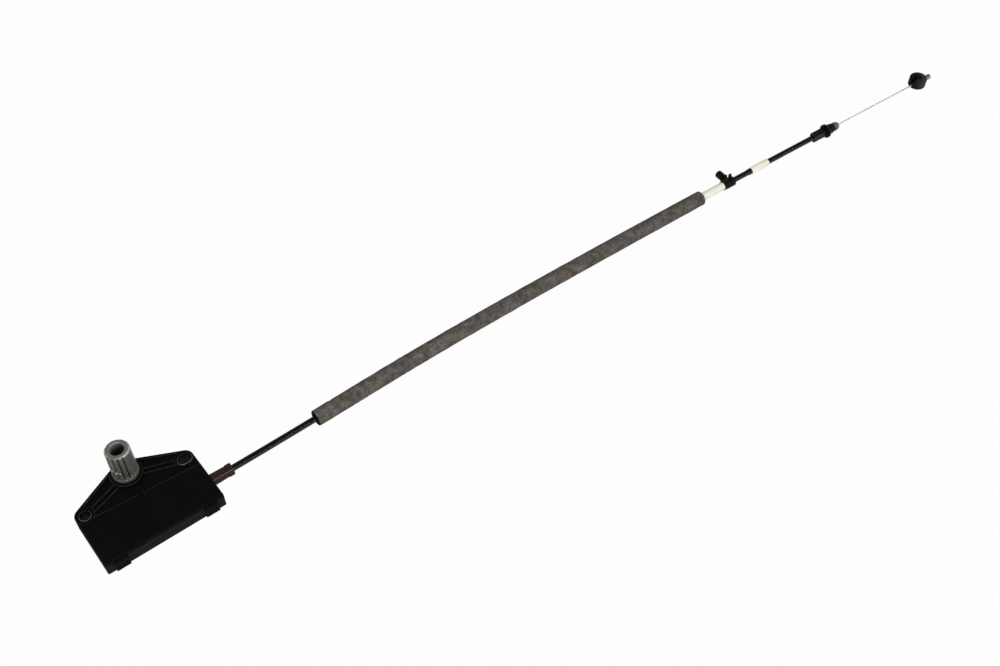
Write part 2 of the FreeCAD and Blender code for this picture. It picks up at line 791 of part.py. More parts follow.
def make_pinion():
    """Gear on the foot of the shaft, with involute teeth and a bore with two flats."""
    body = new_body("pinion")
    disc = Profile(body, "pinion_disc_edge", lift="pinion_foot").circle("0", "0", "root_radius")
    pad(body, "pinion_disc", disc, "pinion_thickness")
    tooth = Profile(body, "tooth_edge", lift="pinion_foot")
    places = [Vector(x, y, 0) for x, y in tooth_corners()]
    for start, end in zip(places, places[1:] + places[:1]):
        tooth.sketch.addGeometry(Part.LineSegment(start, end), False)
    first = pad(body, "tooth", tooth, "pinion_thickness")
    polar(body, "teeth", first, "pinion_teeth", "360")
    bore = Profile(body, "pinion_bore_edge", lift="pinion_top + 1")
    bore.double_flat("hex_radius + fit_gap", "flat_reach + fit_gap")
    pocket(body, "pinion_bore", bore, "pinion_thickness + 2")


def make_shaft_clip():
    """Open retaining ring under the pinion."""
    body = new_body("shaft_clip")
    inner = "pivot_radius - clip_grip + fit_gap"
    profile = Profile(body, "clip_ring_edge", lift="clip_foot")
    profile.circle("0", "0", inner).circle("0", "0", inner + " + clip_wall")
    pad(body, "clip_ring", profile, "clip_thickness")
    opening = Profile(body, "clip_opening_edge", lift="clip_foot + clip_thickness + 1")
    opening.rectangle("-clip_opening / 2", "0", "clip_opening / 2", "pivot_radius + clip_wall + 2")
    pocket(body, "clip_gap", opening, "clip_thickness + 2")


def make_brake_spring():
    """Wrap spring of square wire that grips the drum of the cover."""
    wire = number("spring_wire")
    radius = number("drum_radius - running_gap - spring_wire / 2")
    pitch = wire + number("seat_gap")
    height = pitch * number("spring_turns")
    helix = Part.makeHelix(pitch, height, radius)
    half = wire / 2
    square = ((-half, -half), (half, -half), (half, half), (-half, half))
    corners = [Vector(radius + x, 0, z) for x, z in square]
    section = Part.makePolygon(corners + corners[:1])
    spring = document.addObject("Part::Feature", "brake_spring")
    spring.Label = "brake_spring"
    spring.Shape = Part.Wire(helix.Edges).makePipeShell([section], True, True)
    middle = number("(pinion_top + parting_height) / 2")
    spring.Placement = Placement(Vector(0, 0, middle - height / 2), Rotation())
    pieces.append(spring)


def make_rack_slider():
    """Slider with a rack edge, two grooved runners and a pocket for the wire's nipple."""
    body = new_body("rack_slider")
    plate = Profile(body, "slider_edge", lift="slider_foot")
    low = "-(housing_depth - wall - seat_gap)"
    plate.rectangle("slider_right - slider_length", low, "slider_right", "-rack_edge")
    pad(body, "slider_plate", plate, "slider_thickness")
    left, right = "-2 * tooth_pitch", "(rack_teeth - 2) * tooth_pitch"
    bar = Profile(body, "rack_bar_edge", lift="slider_foot")
    bar.rectangle(left, "-rack_edge", right, "-rack_root")
    pad(body, "rack_bar", bar, "slider_thickness")

    half = "(tooth_pitch / 2 - backlash / 2) / 2"
    slope = "tan(%s)" % PRESSURE_ANGLE
    centre = "-1.5 * tooth_pitch"
    addendum = "%s * gear_module" % RACK_ADDENDUM
    root_half = "(%s + 1.25 * gear_module * %s)" % (half, slope)
    tip_half = "(%s - %s * %s)" % (half, addendum, slope)
    tooth = Profile(body, "rack_tooth_edge", lift="slider_foot")
    tooth.polygon([
        ("%s - %s" % (centre, root_half), "-rack_root"),
        ("%s + %s" % (centre, root_half), "-rack_root"),
        ("%s + %s" % (centre, tip_half), "-pitch_radius + " + addendum),
        ("%s - %s" % (centre, tip_half), "-pitch_radius + " + addendum),
    ])
    first = pad(body, "rack_tooth", tooth, "slider_thickness")
    pattern = body.newObject("PartDesign::LinearPattern", "rack_teeth_row")
    pattern.Originals = [first]
    pattern.Direction = ([item for item in body.Origin.OriginFeatures if item.Role == "X_Axis"][0], [""])
    bind(pattern, "Length", "(rack_teeth - 1) * tooth_pitch")
    bind(pattern, "Occurrences", "rack_teeth")
    body.Tip = pattern
    document.recompute()

    carrier = Profile(body, "carrier_edge", lift="slider_top")
    low, high = "-cable_y - carrier_width / 2", "-cable_y + carrier_width / 2"
    carrier.rectangle("slider_right - carrier_length", low, "slider_right", high)
    pad(body, "carrier", carrier, "carrier_top - slider_top")
    hole = Profile(body, "nipple_pocket_edge", lift="carrier_top")
    hole.circle("nipple_x", "-cable_y", "nipple_radius + fit_gap")
    pocket(body, "nipple_pocket", hole, "carrier_top - cable_height + nipple_length / 2")
    slot = Profile(body, "wire_slot_edge", lift="carrier_top")
    low, high = "-cable_y - wire_radius - seat_gap", "-cable_y + wire_radius + seat_gap"
    slot.rectangle("nipple_x", low, "slider_right + 1", high)
    pocket(body, "wire_slot", slot, "carrier_top - cable_height + wire_radius + seat_gap")

    grooves = Profile(body, "groove_edge", lift="slider_foot")
    for place in ("runner_near", "runner_far"):
        reach = "(runner_width / 2 + seat_gap)"
        ends = ("slider_right - slider_length - 1", "slider_right + 1")
        grooves.rectangle(ends[0], "-%s - %s" % (place, reach), ends[1], "-%s + %s" % (place, reach))
    pocket(body, "grooves", grooves, "runner_top + running_gap - slider_foot", back=True)
    opening = Profile(body, "slider_window_edge", lift="slider_top + 1")
    left, middle = "slider_right - slider_length + wall * 2", "-(runner_near + runner_far) / 2"
    low, high = middle + " - slider_window_width / 2", middle + " + slider_window_width / 2"
    opening.rectangle(left, low, left + " + window_length", high)
    pocket(body, "slider_window", opening, "slider_thickness + 2")


def make_wire_nipple():
    """Barrel nipple in the slider's pocket, with a cross hole for the wire."""
    body = new_body("wire_nipple")
    barrel = Profile(body, "nipple_edge", lift="cable_height - nipple_length / 2")
    barrel.circle("nipple_x", "-cable_y", "nipple_radius")
    pad(body, "nipple_barrel", barrel, "nipple_length")
    hole = Profile(body, "nipple_hole_edge", plane="YZ_Plane", lift="nipple_x + nipple_radius + 1")
    hole.circle("-cable_y", "cable_height", "wire_radius + fit_gap")
    pocket(body, "nipple_hole", hole, "2 * nipple_radius + 2")


def make_wire_root():
    """Inner wire from the nipple into the first straight stretch of the conduit."""
    body = new_body("wire_root")
    profile = Profile(body, "wire_root_edge", plane="YZ_Plane", lift="nipple_x - nipple_radius / 2")
    profile.circle("-cable_y", "cable_height", "wire_radius")
    pad(body, "wire_root_rod", profile, "seat_x + stroke + wire_reserve - nipple_x + nipple_radius / 2")


def make_conduit_gland():
    """Moulded outlet that holds the conduit in the housing wall."""
    body = new_body("conduit_gland")

    def section(name, lift, shrink):
        wide, tall = "(gland_width / 2 - %s)" % shrink, "(gland_height / 2 - %s)" % shrink
        profile = Profile(body, name, plane="YZ_Plane", lift=lift)
        low, high = "cable_height - " + tall, "cable_height + " + tall
        return profile.rectangle("-cable_y - " + wide, low, "-cable_y + " + wide, high)

    neck = "wall + gland_flange + seat_gap"
    pad(body, "gland_neck", section("neck_section", "half_length - (%s)" % neck, "0"), neck)
    loft = body.newObject("PartDesign::AdditiveLoft", "gland_body")
    loft.Profile = section("root_section", "half_length", "0").sketch
    loft.Sections = [section("tip_section", "half_length + gland_reach", "gland_taper / 2").sketch]
    document.recompute()
    collar = section("collar_section", "half_length + gland_reach", "-0.1")
    pad(body, "gland_collar", collar, "gland_collar")
    shortest = number("gland_collar") - 0.1
    dress(body, "Fillet", "gland_edges", "gland_round", lambda edge: edge.BoundBox.XLength > shortest)
    flange = section("flange_section", "inner_half - seat_gap", "-gland_flange_rim")
    pad(body, "gland_flange", flange, "gland_flange", back=True)
    wire_bore = Profile(body, "wire_bore_edge", plane="YZ_Plane", lift="seat_x + 1")
    wire_bore.circle("-cable_y", "cable_height", "conduit_bore")
    pocket(body, "wire_bore", wire_bore, "gland_seat + gland_flange + wall + 3")
    mouth = "half_length + gland_reach + gland_collar + 1"
    socket = Profile(body, "socket_edge", plane="YZ_Plane", lift=mouth)
    socket.circle("-cable_y", "cable_height", "conduit_radius + fit_gap")
    pocket(body, "conduit_socket", socket, "gland_reach + gland_collar + 1 - gland_seat")


class Cable:
    """The conduit's centre line: straight runs joined by tangent arcs."""

    def __init__(self):
        height = number("cable_height")
        points = [Vector(x, y, height) for x, y in ROUTE]
        self.edges = []
        here = points[0]
        for before, corner, after in zip(points, points[1:], points[2:]):
            back, ahead = before - corner, after - corner
            cut = ARC_SHARE * min(back.Length, ahead.Length)
            turn = math.pi - back.getAngle(ahead)
            radius = cut / math.tan(turn / 2)
            print("bend at x %.0f: turn %.2f degrees, radius %.0f" % (corner.x, math.degrees(turn), radius))
            start, end = corner + back.normalize() * cut, corner + ahead.normalize() * cut
            inward = (back + ahead).normalize()
            middle = corner + inward * (radius / math.cos(turn / 2) - radius)
            self.edges.append(Part.LineSegment(here, start).toShape())
            self.edges.append(Part.Arc(start, middle, end).toShape())
            here = end
        self.edges.append(Part.LineSegment(here, points[-1]).toShape())
        self.length = sum(edge.Length for edge in self.edges)
        self.last_direction = (points[-1] - points[-2]).normalize()

    def stretch(self, start, end):
        """Wire along the centre line between two distances from its start."""
        parts = []
        passed = 0.0
        for edge in self.edges:
            low, high = max(start - passed, 0.0), min(end - passed, edge.Length)
            if high - low > 0.001:
                first, last = edge.getParameterByLength(low), edge.getParameterByLength(high)
                parts.append(edge.Curve.toShape(first, last))
            passed += edge.Length
        return Part.Wire(parts)

    def place(self, distance):
        """Placement with its X axis along the centre line at a distance, also past its end."""
        beyond = max(distance - self.length, 0.0)
        wire = self.stretch(0, min(distance, self.length))
        last = wire.Edges[-1]
        end = last.LastParameter
        direction = last.tangentAt(end)
        turn = math.degrees(math.atan2(direction.y, direction.x))
        return Placement(last.valueAt(end) + direction * beyond, Rotation(Vector(0, 0, 1), turn))

    def rod(self, start, end, radius):
        """Solid rod along a stretch of the centre line."""
        wire = self.stretch(start, end)
        first = wire.Edges[0]
        origin, direction = first.valueAt(first.FirstParameter), first.tangentAt(first.FirstParameter)
        return wire.makePipeShell([Part.Wire([Part.makeCircle(radius, origin, direction)])], True, True)

    def tube(self, name, start, end, outer, inner, bored=None):
        """Round tube along a stretch of the centre line, bored through or only in some stretches."""
        bored = bored or [(start, end)]
        shape = self.rod(start, end, outer)
        for low, high in bored:
            shape = shape.cut(self.rod(low, high, inner))
        hollow = sum(high - low for low, high in bored)
        expected = math.pi * (outer ** 2 * (end - start) - inner ** 2 * hollow)
        sizes = (name, end - start, shape.Volume, expected)
        print("%s: length %.1f, volume %.0f, from its sections %.0f" % sizes)
        if abs(shape.Volume / expected - 1) > 0.01:
            raise ValueError("%s has the wrong volume" % name)
        piece = document.addObject("Part::Feature", name)
        piece.Label = name
        piece.Shape = shape
        pieces.append(piece)


def make_conduit_pieces(cable):
    """Conduit, bored where the wire slides at either end, with its foam sleeve and two white sleeves."""
    radius = number("conduit_radius")
    snug = radius + number("fit_gap")
    bored = number("bored_length")
    ends = [(0, bored), (cable.length - bored, cable.length)]
    cable.tube("conduit", 0, cable.length, radius, number("conduit_bore"), ends)
    start, end = number("foam_start"), number("foam_start + foam_length")
    cable.tube("foam_sleeve", start, end, number("foam_radius"), radius + number("foam_gap"))
    start = end + number("sleeve_gap")
    cable.tube("near_band", start, start + number("near_band_length"), number("near_band_radius"), snug)
    start = number("far_band_start")
    cable.tube("far_band", start, start + number("far_band_length"), number("far_band_radius"), snug)


def make_cable_clip(cable):
    """Clamp round the conduit with a push-in stud that points sideways."""
    body = new_body("cable_clip")
    ring = Profile(body, "clamp_edge", plane="YZ_Plane").circle("0", "0", "clamp_radius")
    pad(body, "clamp", ring, "clamp_length", middle=True)
    groove = Profile(body, "clamp_groove_edge", plane="XZ_Plane")
    bottom, mouth = "clamp_radius - clamp_groove_depth", "clamp_radius + 1"
    groove.rectangle("-clamp_groove / 2", bottom, "clamp_groove / 2", mouth)
    revolve(body, "clamp_waist", groove, "H_Axis", "PartDesign::Groove")
    stud = Profile(body, "stud_section")
    stud_end = "stud_start + stud_length"
    stud.polygon([
        ("0", "0"),
        ("neck_radius", "0"),
        ("neck_radius", "stud_flange_start"),
        ("stud_flange_radius", "stud_flange_start"),
        ("stud_flange_radius", "stud_groove_start"),
        ("stud_groove_radius", "stud_groove_start"),
        ("stud_groove_radius", "stud_start"),
        ("stud_radius", "stud_start"),
        ("stud_radius", stud_end + " - stud_chamfer"),
        ("stud_radius - stud_chamfer", stud_end),
        ("0", stud_end),
    ])
    revolve(body, "stud", stud, "V_Axis")
    tab = Profile(body, "tab_edge", plane="YZ_Plane", lift="clamp_length / 2 - tab_inset")
    tab.polygon([
        ("clamp_radius - tab_thickness", "0"),
        ("clamp_radius", "0"),
        ("clamp_radius", "tab_height - tab_thickness / 2"),
        ("clamp_radius - tab_thickness / 2", "tab_height"),
        ("clamp_radius - tab_thickness", "tab_height - tab_thickness / 2"),
    ])
    pad(body, "tab", tab, "tab_width", back=True)
    bore = Profile(body, "clamp_bore_edge", plane="YZ_Plane", lift="clamp_length")
    bore.circle("0", "0", "conduit_radius + fit_gap")
    pocket(body, "clamp_bore", bore, "2 * clamp_length")
    start = "foam_start + foam_length + 2 * sleeve_gap + near_band_length + clamp_length / 2"
    body.Placement = cable.place(number(start))


def make_end_fitting(cable):
    """Conduit end fitting: square tail, flange, barrel, ring, neck groove and tapered nose."""
    body = new_body("end_fitting")
    tail = Profile(body, "tail_section", plane="YZ_Plane", lift="-fitting_tail")
    tail.rectangle("-fitting_width / 2", "-fitting_height / 2", "fitting_width / 2", "fitting_height / 2")
    pad(body, "tail", tail, "fitting_tail")
    dress(body, "Fillet", "tail_edges", "fitting_round", lambda edge: edge.BoundBox.XLength > 1)
    turned = Profile(body, "fitting_section", plane="XZ_Plane")
    turned.polygon([
        ("0", "0"),
        ("0", "flange_radius"),
        ("flange_thickness", "flange_radius"),
        ("flange_thickness", "barrel_radius"),
        ("ring_start", "barrel_radius"),
        ("ring_start", "ring_radius"),
        ("neck_groove_start", "ring_radius"),
        ("neck_groove_start", "neck_groove_radius"),
        ("nose_start", "neck_groove_radius"),
        ("nose_start", "nose_radius"),
        ("nose_end - nose_taper", "nose_radius"),
        ("nose_end", "nose_tip_radius"),
        ("nose_end", "0"),
    ])
    revolve(body, "fitting_turn", turned, "H_Axis")
    through = Profile(body, "fitting_bore_edge", plane="YZ_Plane", lift="nose_end + 1")
    through.circle("0", "0", "conduit_bore")
    pocket(body, "fitting_bore", through, "nose_end + fitting_tail + 2")
    socket = Profile(body, "fitting_socket_edge", plane="YZ_Plane", lift="-fitting_tail - 1")
    socket.circle("0", "0", "conduit_radius + fit_gap")
    pocket(body, "fitting_socket", socket, "fitting_seat + 1", back=True)
    body.Placement = cable.place(cable.length + number("fitting_tail - fitting_seat"))


def make_wire_end(cable):
    """Bare inner wire with the button and the ferrule on its end."""
    wire = new_body("exposed_wire")
    reach = "button_distance + button_radius + ferrule_length - ferrule_mouth_depth"
    rod = Profile(wire, "exposed_wire_edge", plane="YZ_Plane", lift="-wire_reserve")
    rod.circle("0", "0", "wire_radius")
    pad(wire, "exposed_rod", rod, "wire_reserve + " + reach)
    wire.Placement = cable.place(cable.length)

    button = new_body("end_button")
    disc = Profile(button, "button_edge", lift="-button_drop").circle("0", "0", "button_radius")
    pad(button, "button_disc", disc, "button_height")
    top, foot = number("button_height - button_drop"), number("-button_drop")
    dress(button, "Chamfer", "button_chamfers", "button_chamfer", lambda edge: level_at(edge, top))
    dress(button, "Chamfer", "button_foot", "button_chamfer", lambda edge: level_at(edge, foot))
    rise = "button_height - button_drop"
    recess = Profile(button, "button_recess_edge", lift=rise).circle("0", "0", "recess_radius")
    pocket(button, "button_recess", recess, rise + " + slot_floor")
    slot = Profile(button, "button_slot_edge", lift=rise)
    slot.rectangle("-button_radius - 1", "-slot_width / 2", "0", "slot_width / 2")
    pocket(button, "button_slot", slot, rise + " + slot_floor")
    hole = Profile(button, "button_hole_edge", plane="YZ_Plane", lift="button_radius + 1")
    hole.circle("0", "0", "wire_radius + fit_gap")
    pocket(button, "button_hole", hole, "button_radius + 1")
    button.Placement = cable.place(cable.length + number("button_distance"))

    ferrule = new_body("end_ferrule")
    start, end = "button_radius", "(button_radius + ferrule_length)"
    section = Profile(ferrule, "ferrule_section", plane="XZ_Plane")
    section.polygon([
        (start, "wire_radius + fit_gap"),
        (end + " - ferrule_mouth_depth", "wire_radius + fit_gap"),
        (end + " - ferrule_mouth_depth", "ferrule_mouth_radius"),
        (end, "ferrule_mouth_radius"),
        (end, "ferrule_radius - ferrule_chamfer"),
        (end + " - ferrule_chamfer", "ferrule_radius"),
        (start, "ferrule_radius"),
    ])
    revolve(ferrule, "ferrule_turn", section, "H_Axis")
    ferrule.Placement = button.Placement


def check_and_write():
    """Stop on any failed object or shape, then write each piece."""
    document.recompute()
    for item in document.Objects:
        if "Invalid" in item.State or "Error" in item.State:
            raise ValueError("%s failed: %s" % (item.Name, item.State))
    for piece in pieces:
        shape = piece.Shape
        if shape.isNull() or not shape.isValid() or not shape.Solids:
            raise ValueError("%s has no valid shape" % piece.Label)
        print("%-14s solids %d, volume %.1f" % (piece.Label, len(shape.Solids), shape.Volume))
        spot, turn = piece.Placement.Base, math.degrees(piece.Placement.Rotation.Angle)
        if spot.x:
            print("    at %.3f, %.3f, %.3f, turned %.3f degrees" % (spot.x, spot.y, spot.z, turn))
    os.makedirs("parts", exist_ok=True)
    for piece in pieces:
        piece.Shape.exportStep("parts/%s.step" % piece.Label)


make_base_tray()
make_cover()
make_bushes()
make_drive_shaft()
make_thrust_washer()
make_pinion()
make_shaft_clip()
make_brake_spring()
make_rack_slider()
make_wire_nipple()
make_wire_root()
make_conduit_gland()
cable_line = Cable()
make_conduit_pieces(cable_line)
make_cable_clip(cable_line)
make_end_fitting(cable_line)
make_wire_end(cable_line)
check_and_write()
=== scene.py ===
"""Looks of the rotary cable actuator: its finishes, softened edges, foam sleeve, cable and wire.

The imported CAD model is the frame. Rigid pieces are softened copies of its nodes, and the cable,
its sleeves and the stranded wire are built along the cable's route. Metres, in the CAD's frame.
"""

import logging
import math
from dataclasses import dataclass, field
from enum import Enum, IntEnum

import bmesh
import bpy
from bpy.types import Material, Node, NodeSocket, NodeTree, Object
from mathutils import Matrix, Vector, noise


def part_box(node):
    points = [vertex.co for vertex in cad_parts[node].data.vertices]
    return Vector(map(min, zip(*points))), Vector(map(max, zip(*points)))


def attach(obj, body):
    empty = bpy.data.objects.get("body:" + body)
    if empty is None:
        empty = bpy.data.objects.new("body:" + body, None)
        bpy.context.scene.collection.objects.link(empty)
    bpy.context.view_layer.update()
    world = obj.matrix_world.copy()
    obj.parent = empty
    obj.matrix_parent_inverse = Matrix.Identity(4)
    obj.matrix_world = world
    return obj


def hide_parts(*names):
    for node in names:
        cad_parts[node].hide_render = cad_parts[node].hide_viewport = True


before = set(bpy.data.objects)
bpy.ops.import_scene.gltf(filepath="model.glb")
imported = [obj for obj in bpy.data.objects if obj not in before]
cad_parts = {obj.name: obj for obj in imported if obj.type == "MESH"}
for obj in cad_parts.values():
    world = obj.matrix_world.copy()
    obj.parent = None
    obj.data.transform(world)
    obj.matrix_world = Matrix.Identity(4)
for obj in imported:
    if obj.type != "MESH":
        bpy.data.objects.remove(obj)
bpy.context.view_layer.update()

log = logging.getLogger("actuator")

MM = 0.001

# Sockets of a colour Mix node: by number, as its names also stand for its number and vector sockets
MIX_SHARE = 0
MIX_FIRST = 6
MIX_SECOND = 7
MIX_RESULT = 2

# The cable's route, as in the part's source: seat in the outlet first, end fitting last
CABLE_HEIGHT = 0.0064
ROUTE = [
    (0.0500, -0.0383),
    (0.1110, -0.0383),
    (0.2340, -0.0354),
    (0.3580, -0.0373),
    (0.4820, -0.0409),
    (0.6060, -0.0454),
    (0.6664, -0.0482),
]


class Body(Enum):
    """Bodies of the CAD model that the new pieces ride on."""

    HOUSING = "housing"
    SHAFT = "shaft"
    WIRE_END = "wire_end"


class Coat(IntEnum):
    """Numbers of a softened piece's finishes: plain faces, edges in a tone of their own (on most pieces a
    painted highlight) and, on some, a painted highlight on a larger part.
    """

    PLAIN = 0
    EDGE_TONE = 1
    PAINTED_HIGHLIGHT = 2


class ShaftCoat(IntEnum):
    """Numbers of the shaft's finishes: plain; edges and the rim's top with a painted highlight; painted
    shade in the flutes; painted light and shade in the bore; a painted highlight on stretches of the
    rim's chamfer; painted shade at the foot.
    """

    PLAIN = 0
    EDGE_TONE = 1
    HOLLOW = 2
    BORE = 3
    PAINTED_HIGHLIGHT = 4
    FOOT = 5


def linear(colour: str) -> tuple[float, float, float, float]:
    """Turn an sRGB hex colour to linear light.

    Args:
        colour: six hex digits after a hash.

    Returns:
        Red, green, blue and alpha, 0 to 1.
    """
    shares = [int(colour[place:place + 2], 16) / 255 for place in (1, 3, 5)]
    red, green, blue = [
        share / 12.92 if share <= 0.04045 else ((share + 0.055) / 1.055) ** 2.4 for share in shares]
    return red, green, blue, 1.0


def add_node(
    tree: NodeTree, kind: str, inputs: dict[str | int, object] | None = None, **settings: object,
) -> Node:
    """Add a shader node with its settings and links.

    Args:
        tree: tree that takes the node.
        kind: the node's type name.
        inputs: a value or a source socket for each input, by name or number.
        settings: the node's own settings.

    Returns:
        The new node.
    """
    node = tree.nodes.new(kind)
    for name, value in settings.items():
        setattr(node, name, value)
    for place, value in (inputs or {}).items():
        socket = node.inputs[place]
        if isinstance(value, NodeSocket):
            tree.links.new(value, socket)
        else:
            socket.default_value = value
    return node


def grains_per_metre(size_mm: float) -> float:
    """Scale of a pattern whose features are size_mm across."""
    return 1 / (size_mm * MM)


@dataclass(frozen=True)
class Fade:
    """A slow change to another colour from one point of the object to a second one."""

    colour: str
    start: tuple[float, float, float]
    end: tuple[float, float, float]

    def apply(self, tree: NodeTree, place: NodeSocket, plain: NodeSocket) -> NodeSocket:
        """Mix the second colour in along the way between the points.

        Args:
            tree: takes the nodes.
            place: the coordinate socket.
            plain: the colour at the first point.

        Returns:
            The faded colour.
        """
        way = Vector(self.end) - Vector(self.start)
        along = way.normalized()
        passed = add_node(tree, "ShaderNodeVectorMath", {0: place, 1: along}, operation="DOT_PRODUCT")
        first = Vector(self.start).dot(along)
        share = add_node(tree, "ShaderNodeMapRange", {
            "Value": passed.outputs["Value"], "From Min": first, "From Max": first + way.length})
        mix = add_node(tree, "ShaderNodeMix", {
            MIX_SHARE: share.outputs[0], MIX_FIRST: plain, MIX_SECOND: linear(self.colour),
        }, data_type="RGBA")
        return mix.outputs[MIX_RESULT]


@dataclass(frozen=True)
class Finish:
    """What every finish has: a name, a colour and the shader's constants."""

    name: str
    colour: str
    roughness: float = 0.5
    specular: float = 0.5
    metallic: float = 0.0
    fade: Fade | None = None

    def start(self) -> tuple[Material, NodeTree, Node, NodeSocket]:
        """Start a material with its shader and its Object coordinates.

        Returns:
            The material, its tree, its shader and the coordinate socket.
        """
        material = bpy.data.materials.new(self.name)
        material.use_nodes = True
        tree = material.node_tree
        tree.nodes.clear()
        constants = {
            "Base Color": linear(self.colour),
            "Roughness": self.roughness,
            "Metallic": self.metallic,
            "Specular IOR Level": self.specular,
        }
        shader = add_node(tree, "ShaderNodeBsdfPrincipled", constants)
        add_node(tree, "ShaderNodeOutputMaterial", {"Surface": shader.outputs["BSDF"]})
        coordinates = add_node(tree, "ShaderNodeTexCoord")
        material.diffuse_color = linear(self.colour)
        return material, tree, shader, coordinates.outputs["Object"]

    def tint(self, tree: NodeTree, place: NodeSocket, shader: Node, colour: NodeSocket) -> None:
        """Give the shader its colour, faded where the finish says so.

        Args:
            tree: the material's tree.
            place: the coordinate socket.
            shader: the shader.
            colour: the finish's own colour.
        """
        shown = self.fade.apply(tree, place, colour) if self.fade else colour
        tree.links.new(shown, shader.inputs["Base Color"])

    def build(self) -> Material:
        """Build the material."""
        return self.start()[0]


@dataclass(frozen=True)
class MouldedPlastic(Finish):
    """Injection-moulded plastic, such as PA6 or POM, from a spark-eroded mould.

    The eye gets an even grain, slow cloudy flow marks and a faint unevenness of the gloss. The real
    grain is finer than the render's pixels, so it is drawn several times as coarse.
    """

    cloud_colour: str = "#000000"
    cloud_mm: float = 14.0
    cloud_range: tuple[float, float] = (0.35, 0.7)
    gloss_swing: float = 0.07
    grain_mm: float = 0.55
    grain_depth_mm: float = 0.02
    grain_strength: float = 0.6

    def build(self) -> Material:
        """Build the moulded plastic.

        Returns:
            The material.
        """
        material, tree, shader, place = self.start()
        low, high = self.cloud_range
        clouds = add_node(tree, "ShaderNodeTexNoise", {
            "Vector": place, "Scale": grains_per_metre(self.cloud_mm), "Detail": 5.0, "Roughness": 0.6})
        share = add_node(tree, "ShaderNodeMapRange", {
            "Value": clouds.outputs[0], "From Min": low, "From Max": high})
        mix = add_node(tree, "ShaderNodeMix", {
            MIX_SHARE: share.outputs[0], MIX_FIRST: linear(self.colour),
            MIX_SECOND: linear(self.cloud_colour),
        }, data_type="RGBA")
        self.tint(tree, place, shader, mix.outputs[MIX_RESULT])
        gloss = add_node(tree, "ShaderNodeMapRange", {
            "Value": clouds.outputs[0], "To Min": self.roughness - self.gloss_swing,
            "To Max": self.roughness + self.gloss_swing})
        tree.links.new(gloss.outputs[0], shader.inputs["Roughness"])
        grain = add_node(tree, "ShaderNodeTexNoise", {
            "Vector": place, "Scale": grains_per_metre(self.grain_mm), "Detail": 2.0})
        bump = add_node(tree, "ShaderNodeBump", {
            "Height": grain.outputs[0], "Strength": self.grain_strength,
            "Distance": self.grain_depth_mm * MM})
        tree.links.new(bump.outputs[0], shader.inputs["Normal"])
        return material


@dataclass(frozen=True)
class DieCast(Finish):
    """Zinc die-casting, left as cast: dull grey with cloudy cold-flow marks, stretched upwards.

    Its pebbled skin is drawn coarser than it is, so that it shows.
    """

    metallic: float = 0.75
    dark_colour: str = "#6a6b68"
    flow_mm: float = 3.5
    flow_stretch: tuple[float, float, float] = (1.0, 1.0, 0.35)
    flow_range: tuple[float, float] = (0.35, 0.68)
    gloss_swing: float = 0.12
    skin_mm: float = 0.4
    skin_depth_mm: float = 0.03
    skin_strength: float = 0.5

    def build(self) -> Material:
        """Build the cast metal.

        Returns:
            The material.
        """
        material, tree, shader, place = self.start()
        low, high = self.flow_range
        stretched = add_node(tree, "ShaderNodeMapping", {"Vector": place, "Scale": self.flow_stretch})
        flow = add_node(tree, "ShaderNodeTexNoise", {
            "Vector": stretched.outputs[0], "Scale": grains_per_metre(self.flow_mm),
            "Detail": 6.0, "Roughness": 0.65})
        share = add_node(tree, "ShaderNodeMapRange", {
            "Value": flow.outputs[0], "From Min": low, "From Max": high})
        mix = add_node(tree, "ShaderNodeMix", {
            MIX_SHARE: share.outputs[0], MIX_FIRST: linear(self.dark_colour),
            MIX_SECOND: linear(self.colour),
        }, data_type="RGBA")
        self.tint(tree, place, shader, mix.outputs[MIX_RESULT])
        gloss = add_node(tree, "ShaderNodeMapRange", {
            "Value": flow.outputs[0], "To Min": self.roughness + self.gloss_swing,
            "To Max": self.roughness - self.gloss_swing})
        tree.links.new(gloss.outputs[0], shader.inputs["Roughness"])
        skin = add_node(tree, "ShaderNodeTexNoise", {
            "Vector": place, "Scale": grains_per_metre(self.skin_mm), "Detail": 3.0})
        bump = add_node(tree, "ShaderNodeBump", {
            "Height": skin.outputs[0], "Strength": self.skin_strength,
            "Distance": self.skin_depth_mm * MM})
        tree.links.new(bump.outputs[0], shader.inputs["Normal"])
        return material


@dataclass(frozen=True)
class DrawnSteel(Finish):
    """Plated or bright steel, drawn or turned: lines along one axis in its gloss.

    The real lines are hair-fine, so they are drawn several times as coarse, to show.
    """

    metallic: float = 1.0
    line_mm: float = 0.3
    along: tuple[float, float, float] = (1.0, 1.0, 0.05)
    gloss_swing: float = 0.12
    line_depth_mm: float = 0.01
    line_strength: float = 0.3

    def build(self) -> Material:
        """Build the steel.

        Returns:
            The material.
        """
        material, tree, shader, place = self.start()
        stretched = add_node(tree, "ShaderNodeMapping", {"Vector": place, "Scale": self.along})
        lines = add_node(tree, "ShaderNodeTexNoise", {
            "Vector": stretched.outputs[0], "Scale": grains_per_metre(self.line_mm), "Detail": 3.0})
        gloss = add_node(tree, "ShaderNodeMapRange", {
            "Value": lines.outputs[0], "To Min": self.roughness - self.gloss_swing,
            "To Max": self.roughness + self.gloss_swing})
        tree.links.new(gloss.outputs[0], shader.inputs["Roughness"])
        bump = add_node(tree, "ShaderNodeBump", {
            "Height": lines.outputs[0], "Strength": self.line_strength,
            "Distance": self.line_depth_mm * MM})
        tree.links.new(bump.outputs[0], shader.inputs["Normal"])
        return material


